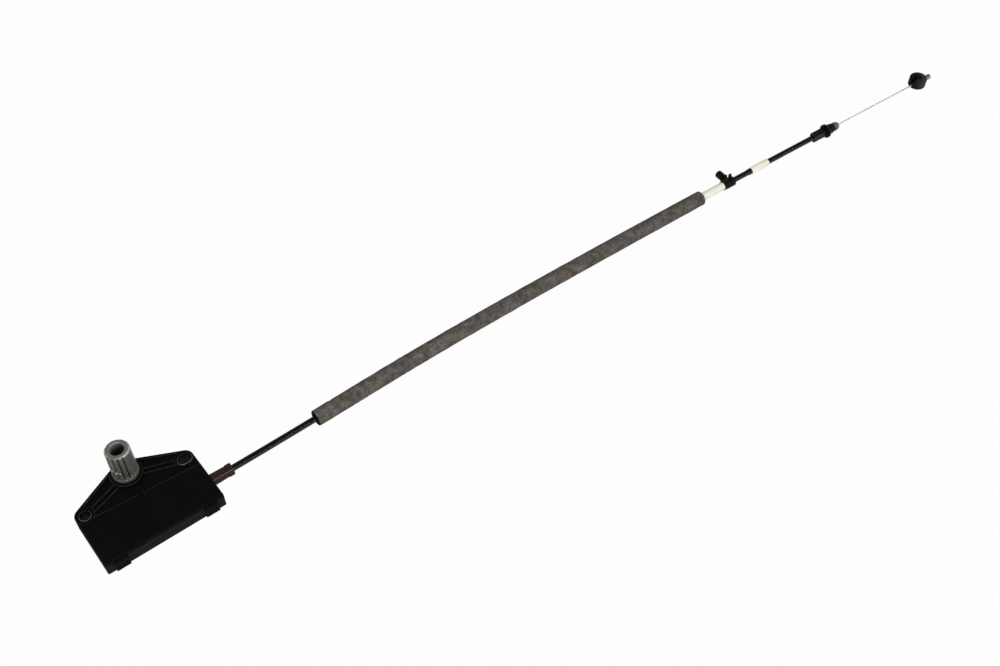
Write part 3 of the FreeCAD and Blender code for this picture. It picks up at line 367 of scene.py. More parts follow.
@dataclass(frozen=True)
class CutFoam(Finish):
    """Polyurethane foam cut to a tube: open cells as dark pits in a dull mottled grey-brown.

    The cells are drawn about twice as coarse as they are, so that they show.
    """

    pit_colour: str = "#2c2926"
    pale_colour: str = "#78736c"
    mottle_mm: float = 6.0
    mottle_range: tuple[float, float] = (0.38, 0.72)
    cell_mm: float = 1.1
    pit_range: tuple[float, float] = (0.05, 0.42)
    pit_depth_mm: float = 0.25
    pit_strength: float = 0.8

    def build(self) -> Material:
        """Build the foam.

        Returns:
            The material.
        """
        material, tree, shader, place = self.start()
        dark, pale = self.mottle_range
        pit, rim = self.pit_range
        mottle = add_node(tree, "ShaderNodeTexNoise", {
            "Vector": place, "Scale": grains_per_metre(self.mottle_mm), "Detail": 5.0, "Roughness": 0.7})
        share = add_node(tree, "ShaderNodeMapRange", {
            "Value": mottle.outputs[0], "From Min": dark, "From Max": pale})
        tone = add_node(tree, "ShaderNodeMix", {
            MIX_SHARE: share.outputs[0], MIX_FIRST: linear(self.colour),
            MIX_SECOND: linear(self.pale_colour),
        }, data_type="RGBA")
        cells = add_node(tree, "ShaderNodeTexVoronoi", {
            "Vector": place, "Scale": grains_per_metre(self.cell_mm), "Randomness": 1.0}, feature="F1")
        wall = add_node(tree, "ShaderNodeMapRange", {
            "Value": cells.outputs["Distance"], "From Min": pit, "From Max": rim})
        skin = add_node(tree, "ShaderNodeMix", {
            MIX_SHARE: wall.outputs[0], MIX_FIRST: linear(self.pit_colour),
            MIX_SECOND: tone.outputs[MIX_RESULT],
        }, data_type="RGBA")
        tree.links.new(skin.outputs[MIX_RESULT], shader.inputs["Base Color"])
        bump = add_node(tree, "ShaderNodeBump", {
            "Height": wall.outputs[0], "Strength": self.pit_strength,
            "Distance": self.pit_depth_mm * MM})
        tree.links.new(bump.outputs[0], shader.inputs["Normal"])
        return material


@dataclass(frozen=True)
class ExtrudedSheath(Finish):
    """Extruded polyethylene sheath: glossy black, smeared here and there, with lines from the die.

    The lines run along the sheath. They are drawn coarser than they are, so that they show.
    """

    line_mm: float = 0.5
    line_stretch: tuple[float, float, float] = (0.02, 1.0, 1.0)
    line_depth_mm: float = 0.01
    line_strength: float = 0.03
    smear_mm: float = 5.0
    gloss_range: tuple[float, float] = (-0.04, 0.06)

    def build(self) -> Material:
        """Build the sheath.

        Returns:
            The material.
        """
        material, tree, shader, place = self.start()
        glossier, duller = self.gloss_range
        drawn = add_node(tree, "ShaderNodeMapping", {"Vector": place, "Scale": self.line_stretch})
        lines = add_node(tree, "ShaderNodeTexNoise", {
            "Vector": drawn.outputs[0], "Scale": grains_per_metre(self.line_mm), "Detail": 2.0})
        smears = add_node(tree, "ShaderNodeTexNoise", {
            "Vector": place, "Scale": grains_per_metre(self.smear_mm), "Detail": 1.0})
        gloss = add_node(tree, "ShaderNodeMapRange", {
            "Value": smears.outputs[0], "To Min": self.roughness + glossier,
            "To Max": self.roughness + duller})
        tree.links.new(gloss.outputs[0], shader.inputs["Roughness"])
        bump = add_node(tree, "ShaderNodeBump", {
            "Height": lines.outputs[0], "Strength": self.line_strength,
            "Distance": self.line_depth_mm * MM})
        tree.links.new(bump.outputs[0], shader.inputs["Normal"])
        return material


@dataclass(frozen=True)
class SleeveFilm(Finish):
    """White PVC sleeve: smooth, slightly wavy, yellowed towards one end with a ragged limit."""

    stain_colour: str = "#e9e2cc"
    stain_start: float = 0.0
    stain_end: float = 1.0
    ragged: float = 0.006
    wave_mm: float = 6.0
    wave_depth_mm: float = 0.1
    wave_strength: float = 0.12

    def build(self) -> Material:
        """Build the sleeve's plastic.

        Returns:
            The material.
        """
        material, tree, shader, place = self.start()
        parts = add_node(tree, "ShaderNodeSeparateXYZ", {0: place})
        waves = add_node(tree, "ShaderNodeTexNoise", {
            "Vector": place, "Scale": grains_per_metre(self.wave_mm), "Detail": 1.0})
        shift = add_node(tree, "ShaderNodeMath", {
            0: waves.outputs[0], 1: self.ragged, 2: parts.outputs["X"]}, operation="MULTIPLY_ADD")
        share = add_node(tree, "ShaderNodeMapRange", {
            "Value": shift.outputs[0], "From Min": self.stain_start, "From Max": self.stain_end})
        mix = add_node(tree, "ShaderNodeMix", {
            MIX_SHARE: share.outputs[0], MIX_FIRST: linear(self.colour),
            MIX_SECOND: linear(self.stain_colour),
        }, data_type="RGBA")
        tree.links.new(mix.outputs[MIX_RESULT], shader.inputs["Base Color"])
        bump = add_node(tree, "ShaderNodeBump", {
            "Height": waves.outputs[0], "Strength": self.wave_strength,
            "Distance": self.wave_depth_mm * MM})
        tree.links.new(bump.outputs[0], shader.inputs["Normal"])
        return material


# Black glass-filled nylon of the cover: near black and dull, with a painted highlight on its edges,
# brightest on the left
COVER = MouldedPlastic(
    "moulded_nylon_black", "#070707", roughness=0.7, specular=0.05, cloud_colour="#0b0b0b")
COVER_EDGE_HIGHLIGHT = MouldedPlastic(
    "moulded_nylon_edge_highlight", "#42423f", roughness=0.5, specular=0.2, cloud_colour="#2a2a28",
    cloud_mm=5.0, fade=Fade("#272726", (-0.0080, 0.0, 0.0), (0.0220, 0.0, 0.0)))
# Painted highlight on the rounded edge along the cover's ridge
COVER_RIDGE_HIGHLIGHT = MouldedPlastic(
    "moulded_nylon_ridge_highlight", "#2b2b2a", roughness=0.6, specular=0.1, cloud_colour="#1f1f1f")
# Tray of the same nylon, a little browner, with darker edges
TRAY = MouldedPlastic(
    "moulded_nylon_charcoal", "#1b1915", roughness=0.6, specular=0.04, cloud_colour="#12110e")
TRAY_EDGE = MouldedPlastic(
    "moulded_nylon_charcoal_edge", "#0f0e0c", roughness=0.6, specular=0.1, cloud_colour="#0b0a09")
# Turned steel bushes: a painted dark reflection on their faces, a painted highlight on their outer
# chamfers
BUSH = DrawnSteel("turned_steel_dark_reflection", "#0b0b0a", roughness=0.6)
BUSH_EDGE = DrawnSteel("turned_steel_chamfer_highlight", "#6b6d69", roughness=0.6, metallic=0.5, line_mm=1.5)
# Zinc die-cast shaft: dull mid grey; painted shade in its flutes and at its foot, a painted highlight on
# its edges, its rim and its pips
SHAFT = DieCast("zinc_die_cast", "#8a8b84", roughness=0.55, dark_colour="#70716a")
SHAFT_EDGE = DieCast("zinc_die_cast_edge_highlight", "#9c9d96", roughness=0.45, dark_colour="#80817a")
SHAFT_FLUTE_SHADE = DieCast(
    "zinc_die_cast_flute_shade", "#2e2f2a", roughness=0.65, metallic=0.4, dark_colour="#21221d")
SHAFT_FOOT_SHADE = DieCast("zinc_die_cast_foot_shade", "#74756e", roughness=0.6, dark_colour="#5a5b53")
SHAFT_RIM_HIGHLIGHT = DieCast("zinc_die_cast_rim_highlight", "#b9b6ac", roughness=0.45, metallic=0.3, dark_colour="#9d9a90")
SHAFT_PIPS = DieCast("zinc_die_cast_pips_highlight", "#a5a69f", roughness=0.5, metallic=0.4, dark_colour="#8f9089")
# Painted light and shade in the bore: light at its mouth, on the side away from the gland, and shade down
# in it
SHAFT_BORE = DieCast(
    "zinc_die_cast_bore_shading", "#c4c5bc", roughness=0.6, dark_colour="#a9aaa1",
    fade=Fade("#383934", (-0.0036, 0.0030, 0.0420), (0.0010, 0.0016, 0.0352)))
# Acetal in its natural milky white, for the gear and the rack
GEAR = MouldedPlastic(
    "moulded_acetal_natural", "#e6e2d6", roughness=0.4, cloud_colour="#dcd7c8", grain_depth_mm=0.005)
# Black acetal of the thrust washer, which hardly shows under the shaft's collar
WASHER = MouldedPlastic(
    "moulded_acetal_black", "#101010", roughness=0.5, specular=0.1, cloud_colour="#0b0b0b")
# Spring steel of the hidden clip, grey from its phosphate bath, and oiled wire of the hidden spring
CLIP_STEEL = DrawnSteel("phosphated_spring_steel", "#4b4b4d", roughness=0.5)
SPRING = DrawnSteel("oiled_spring_wire", "#77777a", roughness=0.35)
# Zinc-coated strand: bright, broken up by the lay of its wires
WIRE = DrawnSteel("galvanised_strand", "#e4e4e2", roughness=0.5, line_mm=0.2, along=(0.2, 1.0, 1.0))
# Tinned brass of the ferrule and the nipple: pale grey, with a soft shine
FERRULE = DrawnSteel("tinned_brass_ferrule", "#969794", roughness=0.4)
# Brown nylon of the cable outlet: dull and dark, with painted shade darkening it downwards and a painted
# highlight along its rounded top front edge
GLAND = MouldedPlastic(
    "moulded_nylon_brown", "#352a25", roughness=0.5, specular=0.06, cloud_colour="#2c221f", cloud_mm=8.0,
    fade=Fade("#291e1a", (0.0, 0.0, 0.0090), (0.0, 0.0, 0.0045)))
GLAND_EDGE = MouldedPlastic(
    "moulded_nylon_brown_edge_highlight", "#6b5a50", roughness=0.4, specular=0.25, cloud_colour="#55463d")
# Polyethylene of the conduit's sheath: black, with a sharp gloss
SHEATH = ExtrudedSheath("extruded_sheath_black", "#0a0a0a", roughness=0.14, specular=0.26)
# Grey-brown polyurethane foam: dull, and rough with its cut cells
FOAM = CutFoam("cut_polyurethane_foam", "#4e4843", roughness=0.95, specular=0.1)
# The foam's cut end is in the dark of its own bore
FOAM_END = CutFoam(
    "cut_polyurethane_foam_end", "#141210", roughness=0.95, specular=0.05,
    pit_colour="#0a0908", pale_colour="#1c1a17")
# White PVC sleeves: satin, the far one more yellowed than the near one
NEAR_SLEEVE = SleeveFilm(
    "white_sleeve_near", "#f8f6ec", roughness=0.45, specular=0.3,
    stain_colour="#f1efe2", stain_start=0.47, stain_end=0.55)
FAR_SLEEVE = SleeveFilm(
    "white_sleeve_far", "#f8f5ea", roughness=0.45, specular=0.3,
    stain_colour="#f3e9d2", stain_start=0.594, stain_end=0.606)
# Black acetal of the clip and the fitting: satin, with a painted highlight on the upper side of the
# fitting's nose and on its edges
ACETAL = MouldedPlastic(
    "moulded_acetal_satin_black", "#110f0d", roughness=0.42, specular=0.1, cloud_colour="#0c0b09",
    grain_mm=0.4, grain_depth_mm=0.006)
ACETAL_NOSE = MouldedPlastic(
    "moulded_acetal_nose_highlight", "#7d7975", roughness=0.5, specular=0.2, cloud_colour="#3a3835",
    grain_depth_mm=0.006, cloud_mm=3.0)
ACETAL_EDGE = MouldedPlastic(
    "moulded_acetal_edge_highlight", "#363533", roughness=0.38, specular=0.3, cloud_colour="#272625",
    grain_depth_mm=0.006, cloud_mm=4.0)
# Black acetal of the button: dull, with painted shade at its back and painted light fading in towards its
# front right
BUTTON = MouldedPlastic(
    "moulded_acetal_button", "#0c0b09", roughness=0.6, specular=0.08, cloud_colour="#080706",
    grain_depth_mm=0.006, fade=Fade("#363533", (0.7960, -0.0525, 0.0), (0.8010, -0.0590, 0.0)))


def hand_over(piece: Object, body: Body, slot: str, *nodes: str) -> None:
    """Tie a finished piece to its body, and hide the CAD nodes that it stands for.

    Args:
        piece: the finished piece.
        body: body that it rides on.
        slot: name of its material slot; not used.
        nodes: CAD nodes that it replaces.
    """
    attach(piece, body.value)
    if nodes:
        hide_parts(*nodes)
    log.info("%s rides on %s, for %s", piece.name, body.value, ", ".join(nodes) or "no node")


def new_object(name: str, shape: bmesh.types.BMesh, materials: list[Material]) -> Object:
    """Make an object of a finished bmesh, shaded smooth.

    Args:
        name: the object's name.
        shape: the bmesh, which is freed.
        materials: materials in the order of the faces' numbers.

    Returns:
        The new object.
    """
    for face in shape.faces:
        face.smooth = True
    mesh = bpy.data.meshes.new(name)
    shape.to_mesh(mesh)
    shape.free()
    for material in materials:
        mesh.materials.append(material)
    piece = bpy.data.objects.new(name, mesh)
    bpy.context.scene.collection.objects.link(piece)
    return piece


@dataclass
class SoftenedNode:
    """A copy of a rigid CAD node with its outer edges rounded and in a finish of their own, on most
    pieces a painted highlight.
    """

    node: str
    body: Body
    slot: str
    face: Finish
    edge: Finish
    width_mm: float = 0.2
    segments: int = 2
    sharp_degrees: float = 32.0
    flat_degrees: float = 0.6
    weld_mm: float = 0.002
    sliver_mm: float = 0.03

    def build(self) -> Object:
        """Build the softened copy in place of its node.

        Returns:
            The new piece.
        """
        shape = bmesh.new()
        shape.from_mesh(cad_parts[self.node].data)
        bmesh.ops.remove_doubles(shape, verts=shape.verts, dist=self.weld_mm * MM)
        bmesh.ops.dissolve_degenerate(shape, dist=self.sliver_mm * MM, edges=shape.edges)
        flat = math.radians(self.flat_degrees)
        bmesh.ops.dissolve_limit(shape, angle_limit=flat, verts=shape.verts, edges=shape.edges)
        limit = math.radians(self.sharp_degrees)
        sharp = [edge for edge in shape.edges if edge.is_manifold and edge.calc_face_angle(0.0) > limit]
        for edge in sharp:
            edge.smooth = edge.is_convex
        outer = [edge for edge in sharp if edge.is_convex]
        rounded = bmesh.ops.bevel(
            shape, geom=outer, offset=self.width_mm * MM, offset_type="OFFSET", affect="EDGES",
            segments=self.segments, profile=0.5, material=-1, clamp_overlap=False, loop_slide=True)
        for face in rounded["faces"]:
            face.material_index = Coat.EDGE_TONE
        shape.normal_update()
        self.paint(shape)
        piece = new_object("soft_" + self.node, shape, [finish.build() for finish in self.finishes()])
        weights = piece.modifiers.new("weighted_normals", "WEIGHTED_NORMAL")
        weights.keep_sharp = True
        hand_over(piece, self.body, self.slot, self.node)
        return piece

    def finishes(self) -> list[Finish]:
        """List the finishes in the order of the faces' numbers."""
        return [self.face, self.edge]

    def paint(self, shape: bmesh.types.BMesh) -> None:
        """Leave the faces as they are: plain ones take the first finish, rounded edges the second."""


@dataclass
class SoftenedCover(SoftenedNode):
    """The cover: a painted highlight along its long ridge, and no painted edge highlight at its gate
    mark, bush seats, back and straps.
    """

    ridge: Finish = COVER_RIDGE_HIGHLIGHT
    ridge_above: float = 0.0115
    ridge_lean: float = 0.2
    ridge_slope: tuple[float, float] = (0.4, 0.97)
    back_lean: float = 0.25
    strap_front: float = -0.0585
    # Circles whose edges get no painted highlight: X, Y and radius of each
    no_highlight_circles: tuple[tuple[float, float, float], ...] = (
        (0.0, -0.0394, 0.0052), (-0.0385, -0.0138, 0.0050), (0.0385, -0.0138, 0.0063))

    def finishes(self) -> list[Finish]:
        """List the finishes in the order of the faces' numbers."""
        return [self.face, self.edge, self.ridge]

    def paint(self, shape: bmesh.types.BMesh) -> None:
        """Give the ridge its painted highlight, and leave the painted edge highlight off round the gate
        mark and the bush seats, on the back and on the straps.

        Args:
            shape: the softened cover.
        """
        low, high = self.ridge_slope
        for face in shape.faces:
            middle = face.calc_center_median()
            normal = face.normal
            highlight_free = any((middle.xy - Vector((x, y))).length < reach for x, y, reach in self.no_highlight_circles)
            if middle.z > self.ridge_above and normal.y > self.ridge_lean and low < normal.z < high:
                face.material_index = Coat.PAINTED_HIGHLIGHT
            elif highlight_free or normal.y > self.back_lean or middle.y < self.strap_front:
                face.material_index = Coat.PLAIN


@dataclass
class SoftenedBush(SoftenedNode):
    """A bush with a painted highlight on its outer chamfer."""

    chamfer_slope: tuple[float, float] = (0.2, 0.95)

    def paint(self, shape: bmesh.types.BMesh) -> None:
        """Give the outer chamfer its painted highlight.

        Args:
            shape: the softened bush.
        """
        xs = [vertex.co.x for vertex in shape.verts]
        ys = [vertex.co.y for vertex in shape.verts]
        centre = Vector((min(xs) + max(xs), min(ys) + max(ys))) / 2
        low, high = self.chamfer_slope
        for face in shape.faces:
            outward = face.normal.xy.dot(face.calc_center_median().xy - centre) > 0
            face.material_index = Coat.EDGE_TONE if outward and low < face.normal.z < high else Coat.PLAIN


@dataclass
class SoftenedShaft(SoftenedNode):
    """The shaft: painted shade in its flutes and at its foot, painted light and shade in its bore, a
    painted highlight on its rim.
    """

    bore_radius: float = 0.0060
    flute_floor: float = 0.00855
    chamfer: float = 0.0011
    foot_top: float = 0.0202
    foot_edge: float = 0.0165
    upright_below: float = 0.5
    flat_above: float = 0.95
    # Stretches of the rim, in degrees from +X: with the brightest painted highlight, and with none
    highlight_arcs: tuple[tuple[float, float], ...] = ((-92.0, -28.0), (148.0, 180.0), (-180.0, -162.0))
    no_highlight_arc: tuple[float, float] = (-162.0, -92.0)

    def finishes(self) -> list[Finish]:
        """List the finishes in the order of the faces' numbers."""
        return [self.face, self.edge, SHAFT_FLUTE_SHADE, SHAFT_BORE, SHAFT_RIM_HIGHLIGHT, SHAFT_FOOT_SHADE]

    def rim_coat(self, turn: float) -> ShaftCoat:
        """Say how the outer chamfer of the rim looks at an angle.

        Args:
            turn: the angle round the shaft, in degrees from +X.

        Returns:
            The number of its finish.
        """
        if any(start < turn < end for start, end in self.highlight_arcs):
            return ShaftCoat.PAINTED_HIGHLIGHT
        start, end = self.no_highlight_arc
        return ShaftCoat.PLAIN if start < turn < end else ShaftCoat.EDGE_TONE

    def paint(self, shape: bmesh.types.BMesh) -> None:
        """Paint shade in the flutes and at the foot, light and shade in the bore, and highlights on the
        rim.

        Args:
            shape: the softened shaft.
        """
        top = max(vertex.co.z for vertex in shape.verts)
        for face in shape.faces:
            middle = face.calc_center_median()
            radius = middle.xy.length
            upright = abs(face.normal.z) < self.upright_below
            sloping = self.upright_below < face.normal.z < self.flat_above
            if middle.z > top - self.chamfer and face.normal.z > self.upright_below:
                rim = sloping and radius > self.bore_radius
                turn = math.degrees(math.atan2(middle.y, middle.x))
                face.material_index = self.rim_coat(turn) if rim else ShaftCoat.EDGE_TONE
            elif middle.z < self.foot_top:
                collar = sloping and middle.z < self.foot_edge
                face.material_index = ShaftCoat.PLAIN if collar else ShaftCoat.FOOT
            elif upright and radius < self.bore_radius:
                face.material_index = ShaftCoat.BORE
            elif upright and radius < self.flute_floor and face.material_index == ShaftCoat.PLAIN:
                face.material_index = ShaftCoat.HOLLOW


@dataclass
class SoftenedFitting(SoftenedNode):
    """The end fitting, with a painted highlight on the upper side of its tapered nose."""

    nose_start: float = 0.6862
    nose_lean: float = 0.1

    def finishes(self) -> list[Finish]:
        """List the finishes in the order of the faces' numbers."""
        return [self.face, self.edge, ACETAL_NOSE]

    def paint(self, shape: bmesh.types.BMesh) -> None:
        """Give the upper side of the nose its painted highlight.

        Args:
            shape: the softened fitting.
        """
        for face in shape.faces:
            if face.calc_center_median().x > self.nose_start and face.normal.z > self.nose_lean:
                face.material_index = Coat.PAINTED_HIGHLIGHT


@dataclass
class SoftenedGland(SoftenedNode):
    """The gland, with a painted highlight along the rounded edge between its top and its front."""

    lengthwise: float = 0.3
    front_lean: float = 0.3
    edge_slope: tuple[float, float] = (0.3, 0.93)

    def paint(self, shape: bmesh.types.BMesh) -> None:
        """Give that edge its painted highlight, and keep every other face plain.

        Args:
            shape: the softened gland.
        """
        low, high = self.edge_slope
        for face in shape.faces:
            normal = face.normal
            along_front = abs(normal.x) < self.lengthwise and normal.y < -self.front_lean
            face.material_index = Coat.EDGE_TONE if along_front and low < normal.z < high else Coat.PLAIN


@dataclass
class DressedNode:
    """A CAD node that keeps its own shape and gets a finish."""

    node: str
    face: Finish

    def build(self) -> None:
        """Give the node its finish."""
        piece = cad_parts[self.node]
        piece.data.materials.clear()
        piece.data.materials.append(self.face.build())
        log.info("%s keeps its CAD shape", self.node)


@dataclass
class Route:
    """The cable's centre line, as the spline of its route gives it."""

    order: int = 3
    fineness: int = 24
    points: list[Vector] = field(default_factory=list)
    passed: list[float] = field(default_factory=list)

    def curve(self, name: str) -> bpy.types.Curve:
        """Curve through the route's control points.

        Args:
            name: the curve's name.

        Returns:
            The curve, with no bevel.
        """
        curve = bpy.data.curves.new(name, "CURVE")
        curve.dimensions = "3D"
        spline = curve.splines.new("NURBS")
        spline.points.add(len(ROUTE) - 1)
        for point, (x, y) in zip(spline.points, ROUTE):
            point.co = (x, y, CABLE_HEIGHT, 1.0)
        spline.order_u = self.order
        spline.use_endpoint_u = True
        spline.resolution_u = self.fineness
        return curve

    def read(self) -> "Route":
        """Read the spline's points, in order, with the distance to each.

        Returns:
            The route itself.
        """
        holder = bpy.data.objects.new("route_reader", self.curve("route_reader"))
        mesh = bpy.data.meshes.new_from_object(holder)
        self.points = [vertex.co.copy() for vertex in mesh.vertices]
        self.passed = [0.0]
        for before, after in zip(self.points, self.points[1:]):
            self.passed.append(self.passed[-1] + (after - before).length)
        bpy.data.objects.remove(holder)
        bpy.data.meshes.remove(mesh)
        return self

    def at(self, distance: float) -> Matrix:
        """Place on the centre line: X along it, Z up.

        Args:
            distance: metres from the start; past the end the line goes straight on.

        Returns:
            The placement.
        """
        last = len(self.points) - 2
        index = next((i for i in range(last + 1) if self.passed[i + 1] >= distance), last)
        start, end = self.points[index], self.points[index + 1]
        along = (end - start).normalized()
        if 0 < index < last:
            share = (distance - self.passed[index]) / (end - start).length
            before = (start - self.points[index - 1]).normalized()
            after = (self.points[index + 2] - end).normalized()
            along = ((before + along) * (1 - share) + (along + after) * share).normalized()
        side = Vector((0, 0, 1)).cross(along).normalized()
        up = along.cross(side)
        turn = Matrix((along, side, up)).transposed().to_4x4()
        place = start + (end - start).normalized() * (distance - self.passed[index])
        return Matrix.Translation(place) @ turn


@dataclass
class Sleeve:
    """A round sleeve along the route, drawn ring by ring from its inner edge over its outside."""

    # Distance along the route and radius of each ring
    stations: list[tuple[float, float]]
    sides: int = 48

    def build(self, route: Route) -> bmesh.types.BMesh:
        """Build the closed sleeve.

        Args:
            route: the centre line.

        Returns:
            The shape, whose first and last rings meet inside the bore.
        """
        shape = bmesh.new()
        quarter = Matrix.Rotation(math.pi / 2, 4, "Y")
        distance, radius = self.stations[0]
        here = route.at(distance) @ quarter @ Matrix.Scale(radius, 4)
        ring = bmesh.ops.create_circle(
            shape, cap_ends=False, segments=self.sides, radius=1.0, matrix=here)["verts"]
        first = edges = list({edge for vertex in ring for edge in vertex.link_edges})
        for distance, radius in self.stations[1:]:
            there = route.at(distance) @ quarter @ Matrix.Scale(radius, 4)
            grown = bmesh.ops.extrude_edge_only(shape, edges=edges)["geom"]
            edges = [item for item in grown if isinstance(item, bmesh.types.BMEdge)]
            ring = [item for item in grown if isinstance(item, bmesh.types.BMVert)]
            bmesh.ops.transform(shape, matrix=there @ here.inverted(), verts=ring)
            here = there
        edges = [edge for edge in edges if len(edge.link_faces) == 1]
        first = [edge for edge in first if edge.is_valid and len(edge.link_faces) == 1]
        bmesh.ops.bridge_loops(shape, edges=first + edges)
        bmesh.ops.recalc_face_normals(shape, faces=shape.faces)
        return shape


def rounded_stations(
    start: float, end: float, outer: float, inner: float, ends: float, step: float, lip_steps: int = 4,
) -> list[tuple[float, float]]:
    """Rings of a sleeve with rounded ends, from the bore at its start over its outside to its other end.

    Args:
        start: distance of its first end, metres along the route.
        end: distance of its other end.
        outer: outer radius.
        inner: bore radius.
        ends: radius of the rounded ends.
        step: distance between rings along its outside.
        lip_steps: steps round each end.

    Returns:
        Distance and radius of each ring.
    """
    turns = [math.pi / 2 * i / lip_steps for i in range(lip_steps + 1)]
    drops = [(ends * (1 - math.sin(turn)), outer - ends * (1 - math.cos(turn))) for turn in turns]
    lip = [(start + inset, radius) for inset, radius in reversed(drops)]
    tail = [(end - inset, radius) for inset, radius in drops]
    straight = end - start - 2 * ends
    count = max(2, round(straight / step))
    middle = [(start + ends + straight * i / count, outer) for i in range(1, count)]
    return [(start, inner)] + lip + middle + tail + [(end, inner)]


@dataclass
class Housing:
    """Cover, tray and bushes."""

    edge_mm: float = 0.22
    bush_edge_mm: float = 0.1

    def build(self) -> None:
        """Build the housing's pieces."""
        edge = self.edge_mm
        SoftenedCover("cover", Body.HOUSING, "cover_plastic", COVER, COVER_EDGE_HIGHLIGHT, edge).build()
        SoftenedNode("base_tray", Body.HOUSING, "tray_plastic", TRAY, TRAY_EDGE, edge).build()
        for node in ("round_bush", "slotted_bush"):
            SoftenedBush(node, Body.HOUSING, "bush_steel", BUSH, BUSH_EDGE, self.bush_edge_mm).build()


@dataclass
class Drive:
    """Shaft and the mechanism that it drives, most of it hidden in the housing."""

    edge_mm: float = 0.15
    pip_seat: float = 0.0089
    pip_sides: int = 20
    pip_rings: int = 12
    # Degrees round the shaft, height and radius of each pip
    pips: tuple[tuple[float, float, float], ...] = (
        (-160.5, 0.0258, 0.00075), (-140.0, 0.0250, 0.0011), (-125.5, 0.0246, 0.0008))

    def build(self) -> None:
        """Build the shaft with its pips and dress the inner pieces."""
        SoftenedShaft("drive_shaft", Body.SHAFT, "die_cast", SHAFT, SHAFT_EDGE, self.edge_mm).build()
        self.make_pips()
        inner = {
            "thrust_washer": WASHER, "pinion": GEAR, "shaft_clip": CLIP_STEEL, "brake_spring": SPRING,
            "rack_slider": GEAR, "wire_nipple": FERRULE, "wire_root": WIRE,
        }
        for node, finish in inner.items():
            DressedNode(node, finish).build()

    def make_pips(self) -> None:
        """Build the round cast pips that a knob snaps over, half sunk in the shaft between the flutes."""
        shape = bmesh.new()
        for degrees, height, radius in self.pips:
            angle = math.radians(degrees)
            spot = Vector((self.pip_seat * math.cos(angle), self.pip_seat * math.sin(angle), height))
            place = Matrix.Translation(spot)
            bmesh.ops.create_uvsphere(
                shape, u_segments=self.pip_sides, v_segments=self.pip_rings, radius=radius, matrix=place)
        piece = new_object("snap_pips", shape, [SHAFT_PIPS.build()])
        hand_over(piece, Body.SHAFT, "die_cast")


@dataclass
class FoamSleeve:
    """The foam sleeve: lumpy, with pits, soft cut ends and a crease near its start."""

    start: float = 0.083
    length: float = 0.391
    radius: float = 0.0064
    bore: float = 0.0025
    sides: int = 56
    ends_mm: float = 0.9
    step_mm: float = 0.8
    lump_mm: float = 9.0
    lump_height_mm: float = 0.16
    pit_mm: float = 2.2
    pit_depth_mm: float = 0.09
    crease_from_start: float = 0.0165
    crease_depth_mm: float = 0.5
    crease_width_mm: float = 1.1
    crease_wrap: float = 0.3
    shrink_mm: float = 0.05
    dark_end: float = 0.00025

    def build(self, route: Route) -> Object:
        """Build the foam sleeve.

        Args:
            route: the centre line.

        Returns:
            The sleeve.
        """
        end = self.start + self.length
        stations = rounded_stations(
            self.start, end, self.radius, self.bore, self.ends_mm * MM, self.step_mm * MM)
        shape = Sleeve(stations, self.sides).build(route)
        crease = route.at(self.start + self.crease_from_start).inverted()
        for vertex in shape.verts:
            lump = noise.noise(vertex.co * grains_per_metre(self.lump_mm)) * self.lump_height_mm * MM
            pit = noise.noise(vertex.co * grains_per_metre(self.pit_mm)) * self.pit_depth_mm * MM
            fold = self.fold(crease @ vertex.co)
            outward = Vector((0, vertex.normal.y, vertex.normal.z))
            vertex.co += outward * (lump + pit + fold - self.shrink_mm * MM)
        mouth = route.at(self.start).inverted()
        for face in shape.faces:
            face.material_index = int((mouth @ face.calc_center_median()).x < self.dark_end)
        piece = new_object("foam_tube", shape, [FOAM.build(), FOAM_END.build()])
        hand_over(piece, Body.HOUSING, "foam", "foam_sleeve")
        return piece

    def fold(self, local: Vector) -> float:
        """Say how far the crease moves a point of the surface.

        Args:
            local: the point in the crease's own frame, X along the sleeve.

        Returns:
            Metres outwards, so nought or less.
        """
        across = math.exp(-(local.x / (self.crease_width_mm * MM)) ** 2)
        upper = max(0.0, local.z / self.radius + self.crease_wrap)
        return -self.crease_depth_mm * MM * across * upper


